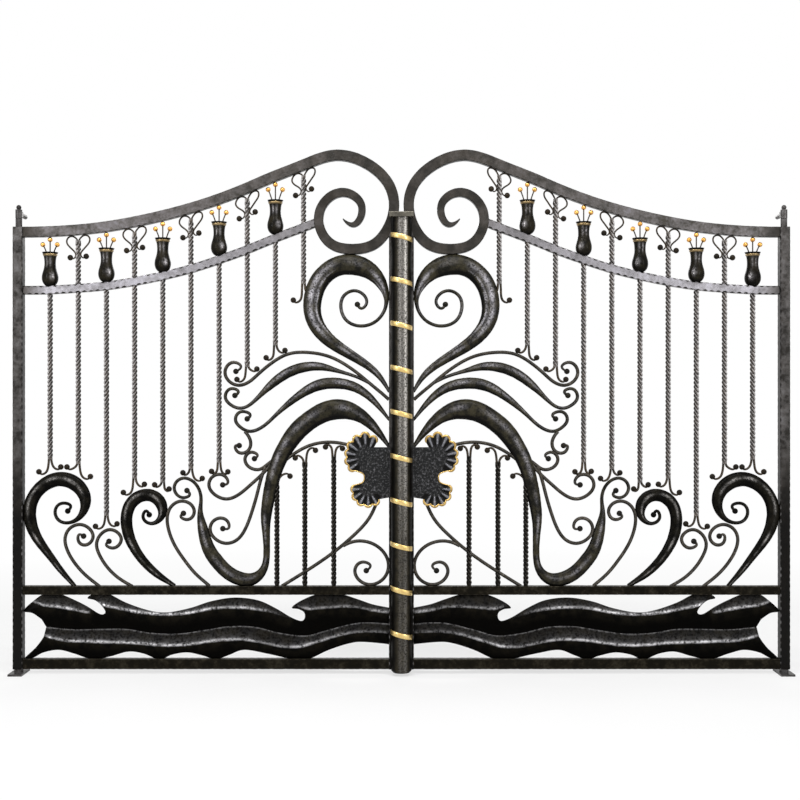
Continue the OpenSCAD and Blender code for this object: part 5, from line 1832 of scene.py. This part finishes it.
@dataclass
class WavePanel(SubAssembly):
    """Two formed wave bands between the bottom rail and the waist rail."""

    crest: float = 15.0
    edge: float = 3.0
    bite: float = 1.0
    spacing: float = 5.4
    fall: float = 1.35
    glint_steps: tuple[float, ...] = (-8.0, -5.0, -2.5, 0.0, 2.5, 5.0, 8.0)
    edge_spacing: float = 4.0
    crest_spacing: float = 5.0
    glint_spacing: float = 8.0
    curve_steps: tuple[int, int] = (6, 4)
    dent: float = 0.8
    blow: float = 22.0
    dent_from: float = 12.0
    # Painted light of a band: width and glow of the highlight along the glint, how it comes and goes, a
    # painted sheen, the painted shade below the glint, and the painted highlight along the lip.
    glint_w: float = 4.4
    glow: float = 0.22
    glow_w: float = 10.0
    steady: float = 0.8
    fading: float = 0.7
    fading_run: float = 30.0
    least_glow: float = 0.3
    sheen: float = 0.009
    shade_from: float = 4.0
    shade_reach: float = 45.0
    lip_w: float = 2.5
    lower_lip: float = 0.17

    def band(self, name: str, curves: list[Array], crest_px: Rows, glint_px: Rows, lip: float) -> None:
        """Make one band.

        Args:
            name: name of its solid.
            curves: curves of its outline, the border between the bands first.
            crest_px: crest line in photo pixels.
            glint_px: line of the band's painted highlight, in photo pixels.
            lip: strength of the painted highlight along the border.
        """
        outline = np.vstack(curves)
        outline = np.clip(outline, (SIZES.stile_in - self.bite, SIZES.panel_foot - self.bite),
                          (SIZES.meet_in + self.bite, SIZES.panel_top + self.bite))
        closed = evenly(np.vstack([outline, outline[:1]]), self.edge_spacing)
        crest = smooth_rows(SIZES.foot_points(crest_px), self.curve_steps[1])
        glint, strength = SIZES.foot_points(glint_px), np.array(glint_px)[:, 2]

        def front(points: Array) -> Array:
            """Front of the band, which falls from its crest to its edges.

            Args:
                points: Places on the leaf.

            Returns:
                Depth of the front at each place.
            """
            out = distance(points, closed)
            share = out / np.maximum(out + distance(points, crest), 1e-6)
            high = self.edge + (self.crest - self.edge) * (1 - (1 - share) ** self.fall)
            place = np.column_stack([points[:, 0], 0 * high, points[:, 1]])
            return -(high - self.dent * dents(place, self.blow) * np.clip(out / self.dent_from, 0, 1))

        def back(points: Array) -> Array:
            """Back of the band, which mirrors its front."""
            return -front(points)

        def wear_and_light(points: Array) -> Array:
            """Painted light of the band: a painted highlight along its glint with a painted sheen, and
            painted shade below it.

            Args:
                points: points of the band.

            Returns:
                Painted light at each point.
            """
            above = points[:, 1] - np.interp(points[:, 0], glint[:, 0], glint[:, 1])
            broken = self.steady + self.fading * wander(points[:, 0] / self.fading_run, crest[0, 1])
            broken = np.clip(broken, self.least_glow, 1)
            broken *= np.interp(points[:, 0], glint[:, 0], strength)
            # Painted highlight along the glint with its glow, painted shade below it, and a painted highlight
            # along the lip at the border.
            streak = broken * (bell(above, self.glint_w) + self.glow * np.exp(-np.abs(above) / self.glow_w))
            darkening = np.clip((-above - self.shade_from) / self.shade_reach, 0, 1)
            edge = lip * bell(distance(points, curves[0]), self.lip_w)
            return np.clip(streak + self.sheen - np.where(above > 0, 0, darkening) + edge, -1, 1)

        draft = MeshDraft()
        lines = [
            (evenly(crest, self.crest_spacing), (0.0,)),
            (evenly(glint, self.glint_spacing), self.glint_steps),
        ]
        draft.relief(closed[:-1], self.spacing, front, back, wear_and_light, lines)
        self.piece(draft, f"{name}_relief", WAVE_IRON, name)

    def build(self) -> None:
        """Make the upper and the lower band."""
        border, upper, lower = (
            smooth_rows(SIZES.foot_points(table), self.curve_steps[0])
            for table in (BORDER_PX, UPPER_WAVE_PX, LOWER_WAVE_PX))
        self.band("upper_wave", [border, upper], UPPER_CREST_PX, UPPER_GLINT_PX, 0.0)
        self.band("lower_wave", [border[::-1], lower], LOWER_CREST_PX, LOWER_GLINT_PX, self.lower_lip)


@dataclass
class CoverTube:
    """Half-round tube over the meeting gap, with its cap and gilt bands, on the right leaf."""

    middle: float = SIZES.span / 2
    back: float = 31.0
    radius: float = 41.0
    foot: float = 12.0
    bevel: float = 8.0
    top_row: float = 219.0
    knurl_pitch: float = 9.2
    knurl_depth: float = 0.45
    knurls: int = 24
    shell_spacing: float = 4.6
    shell_points: int = 57
    plain_top: float = 2.0
    # Painted highlight streaks of the tube: place across it, width and strength of each. Painted shade at its
    # sides: middle, unshaded part, reach.
    highlight_streaks: Rows = (
        (-0.14, 0.16, 0.55), (0.4, 0.18, 0.85), (0.12, 0.34, 0.32))
    side_shade: Triple = (0.08, 0.52, 0.28)
    # Painted highlights grow weaker lower down the tube.
    highlight_rise: Pair = (300.0, 1000.0)
    least_highlight: float = 0.25
    strip: Pair = (10.0, 33.0)
    strip_cut: float = 1.0
    strip_spacing: float = 60.0
    cap_t: float = 20.0
    cap_cut: float = 2.0
    cap_notch: float = 1.0
    cap_pitch: float = 12.0
    cap_spacing: float = 3.2
    cap_lip: float = 7.0
    first_band_row: float = 238.5
    band_pitch: float = 176.0
    band_count: int = 10
    band_h: float = 19.0
    band_t: float = 3.0
    band_slant: float = 14.0
    band_points: int = 33
    # Section of a band: shares of its thickness out from the tube and of its height.
    band_section: Rows = (
        (-0.6, -0.5), (0.55, -0.5), (1, -0.36), (1, 0.36), (0.55, 0.5), (-0.6, 0.5))

    def piece(self, draft: MeshDraft, name: str, finish: Finish, node: str) -> None:
        """Make a piece that rides on the right leaf and stands for one solid."""
        hang(draft.to_object(name, finish.material(), False), finish, Side.RIGHT.body, [node])

    def tube(self) -> None:
        """Make the tube with its rows of knurled blows, and the strip that carries it."""
        top = SIZES.z(self.top_row)
        middles = np.arange(self.foot + self.bevel, top, self.shell_spacing)
        heights = np.concatenate([[self.foot], middles, [top]])
        turn = np.linspace(np.pi, 2 * np.pi, self.shell_points)
        z, angle = np.meshgrid(heights, turn, indexing="ij")
        row = (z - self.foot) / self.knurl_pitch
        blow = np.cos(2 * np.pi * row) * np.cos(angle * self.knurls + np.pi * np.floor(row))
        blow *= self.knurl_depth
        knurled = (z > self.foot + self.bevel) & (z < top - self.plain_top)
        radius = self.radius - self.knurl_depth + np.where(knurled, blow, 0)
        radius[0] = self.radius - self.bevel
        shell = np.stack([self.middle + radius * np.cos(angle), -self.back + radius * np.sin(angle), z], -1)
        # Painted highlight streaks, weaker lower down, and painted shade at the tube's sides.
        place = np.cos(angle)
        polish = sum(share * bell(place - at, width) for at, width, share in self.highlight_streaks)
        start, stop = self.highlight_rise
        lift = np.clip((z - start) / (stop - start), self.least_highlight, 1)
        draft = MeshDraft()
        middle, unshaded, reach = self.side_shade
        draft.sweep(shell, lift * polish - np.clip((np.abs(place - middle) - unshaded) / reach, 0, 1))
        low, high = self.middle + self.strip[0], self.middle + self.strip[1]
        centre, half = (low + high) / 2, (high - low) / 2
        block = Spine.straight((centre, SIZES.ground_gap), (centre, top), half, self.strip_spacing)
        deep = (self.back - SIZES.stile_w / 2) / 2
        rings = draft.square_bar(block, deep, self.strip_cut, 0.0, self.strip_spacing)[..., :3]
        draft.sweep(rings - (0, (self.back + SIZES.stile_w / 2) / 2, 0))
        self.piece(draft, "cover_tube_shell", TUBE_IRON, "cover_tube")

    def cap(self) -> None:
        """Make the cap plate on the tube."""
        top = SIZES.z(self.top_row)
        half = self.radius + self.cap_lip
        level = top + self.cap_t / 2
        spine = Spine.straight((self.middle - half, level), (self.middle + half, level), self.cap_t / 2,
                               self.cap_spacing)
        draft = MeshDraft()
        rings = draft.square_bar(spine, half / 2, self.cap_cut, self.cap_notch, self.cap_pitch)[..., :3]
        draft.sweep(rings - (0, self.back + half / 2, 0))
        self.piece(draft, "tube_cap_plate", CAP_STEEL, "tube_cap")

    def bands(self) -> None:
        """Make the slanting gilt bands."""
        draft = MeshDraft()
        turn = np.linspace(np.pi, 2 * np.pi, self.band_points)
        section = np.array(self.band_section)
        rise = math.tan(math.radians(self.band_slant))
        for number in range(self.band_count):
            level = SIZES.z(self.first_band_row) - number * self.band_pitch
            rings = []
            for angle in turn:
                radius = self.radius + section[:, 0] * self.band_t
                x, y = radius * math.cos(angle), radius * math.sin(angle)
                z = level - rise * x + section[:, 1] * self.band_h
                rings.append(np.column_stack([self.middle + x, -self.back + y, z]))
            draft.sweep(np.array(rings))
        self.piece(draft, "tube_gilt_bands", BAND_GILT, "gilt_bands")

    def build(self) -> None:
        """Make the tube, its cap and its bands."""
        self.tube()
        self.cap()
        self.bands()


@dataclass
class HingeFixings:
    """Floor pivots and top hinges, which keep their solids and get a finish."""

    nodes: tuple[str, ...] = ("left_floor_pivot", "right_floor_pivot", "left_top_hinge", "right_top_hinge")

    def build(self) -> None:
        """Dress the solids."""
        for name in self.nodes:
            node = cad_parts[name]
            node.data.materials.clear()
            node.data.materials.append(STILE_STEEL.material())
            LOG.info("%s: dressed", name)


@dataclass(frozen=True)
class Lamp:
    """Soft oblong lamp: its place, its width and height, and its power in watts."""

    name: str
    at: Triple
    size: Pair
    power: float


@dataclass
class Studio:
    """Camera, floor, lamps and world, in metres."""

    camera_at: Triple = (1.5314, -5.152, 1.0988)
    lens: float = 57.7
    sensor: float = 36.0
    target: Triple = (1.537, 0.0, 1.0)
    lamps: tuple[Lamp, ...] = (
        Lamp("overhead_strip", (1.4, -2.4, 4.4), (4.6, 0.3), 170.0),
        Lamp("left_strip", (-2.2, -3.4, 2.4), (0.25, 2.4), 70.0),
        Lamp("right_strip", (5.2, -3.4, 2.4), (0.25, 2.4), 60.0),
        Lamp("rear_box", (1.8, 4.2, 3.2), (3.0, 1.6), 70.0),
    )
    floor_r: float = 9.0
    floor_sides: int = 96
    fade_reach: Pair = (0.5, 4.5)
    fade_share: Pair = (0.6, 1.0)
    floor_colour: Colour = (0.86, 0.86, 0.86)
    ambient: float = 0.3

    def camera(self) -> None:
        """Set the camera square to the gate, as in the photograph."""
        data = bpy.data.cameras.new("front_camera")
        data.lens = self.lens
        data.sensor_width = self.sensor
        camera = placed("front_camera", data)
        camera.location = self.camera_at
        camera.rotation_euler = (math.radians(90), 0, 0)
        bpy.context.scene.camera = camera

    def floor(self) -> None:
        """Lay a pale floor that fades into the background."""
        work = bmesh.new()
        bmesh.ops.create_circle(work, cap_ends=True, segments=self.floor_sides, radius=self.floor_r)
        mesh = bpy.data.meshes.new("studio_floor")
        work.to_mesh(mesh)
        work.free()
        floor = placed("studio_floor", mesh)
        floor.location = (SIZES.span * MM / 2, 0, 0)
        material = bpy.data.materials.new("pale_studio_floor")
        material.use_nodes = True
        sheet = NodeSheet(material.node_tree)
        where = sheet.place("ShaderNodeTexCoord").outputs["Object"]
        reach = sheet.place("ShaderNodeVectorMath", {"operation": "LENGTH"}, {0: where}).outputs["Value"]
        fade = sheet.math("MULTIPLY", sheet.seen(), sheet.ramp(reach, *self.fade_reach, *self.fade_share))
        matt = sheet.place("ShaderNodeBsdfDiffuse", {}, {"Color": (*self.floor_colour, 1)}).outputs[0]
        white = sheet.place("ShaderNodeEmission", {}, {"Color": (1, 1, 1, 1), "Strength": 1.0}).outputs[0]
        mixed = sheet.place("ShaderNodeMixShader", {}, {0: fade, 1: matt, 2: white}).outputs[0]
        sheet.place("ShaderNodeOutputMaterial", {}, {"Surface": mixed})
        mesh.materials.append(material)

    def world(self) -> None:
        """White background to the camera and to reflections, softer light elsewhere."""
        world = bpy.data.worlds.new("white_studio")
        bpy.context.scene.world = world
        world.use_nodes = True
        sheet = NodeSheet(world.node_tree)
        light = sheet.place("ShaderNodeBackground", {}, {
            "Color": (1, 1, 1, 1), "Strength": sheet.ramp(sheet.seen(), 0.0, 1.0, self.ambient, 1.0)})
        sheet.place("ShaderNodeOutputWorld", {}, {"Surface": light.outputs[0]})

    def light(self, lamp: Lamp) -> None:
        """Place a lamp that faces the gate.

        Args:
            lamp: the lamp.
        """
        data = bpy.data.lights.new(lamp.name, "AREA")
        data.shape = "RECTANGLE"
        data.size, data.size_y = lamp.size
        data.energy = lamp.power
        holder = placed(lamp.name, data)
        holder.location = lamp.at
        holder.rotation_euler = (Vector(self.target) - Vector(lamp.at)).to_track_quat("-Z", "Y").to_euler()

    def build(self) -> None:
        """Set up the whole studio."""
        bpy.context.scene.view_settings.view_transform = "Standard"
        self.camera()
        self.floor()
        self.world()
        for lamp in self.lamps:
            self.light(lamp)


def main() -> None:
    """Build the studio and every sub-assembly of the gate in order."""
    logging.basicConfig(level=logging.INFO, format="%(message)s")
    Studio().build()
    HingeFixings().build()
    for side in Side:
        for part in (LeafFrame, PicketRow, TulipRow, ForgedScrolls, SlimScrolls, LockGrille, WavePanel):
            part(side).build()
    CoverTube().build()


if __name__ == "__main__":
    main()
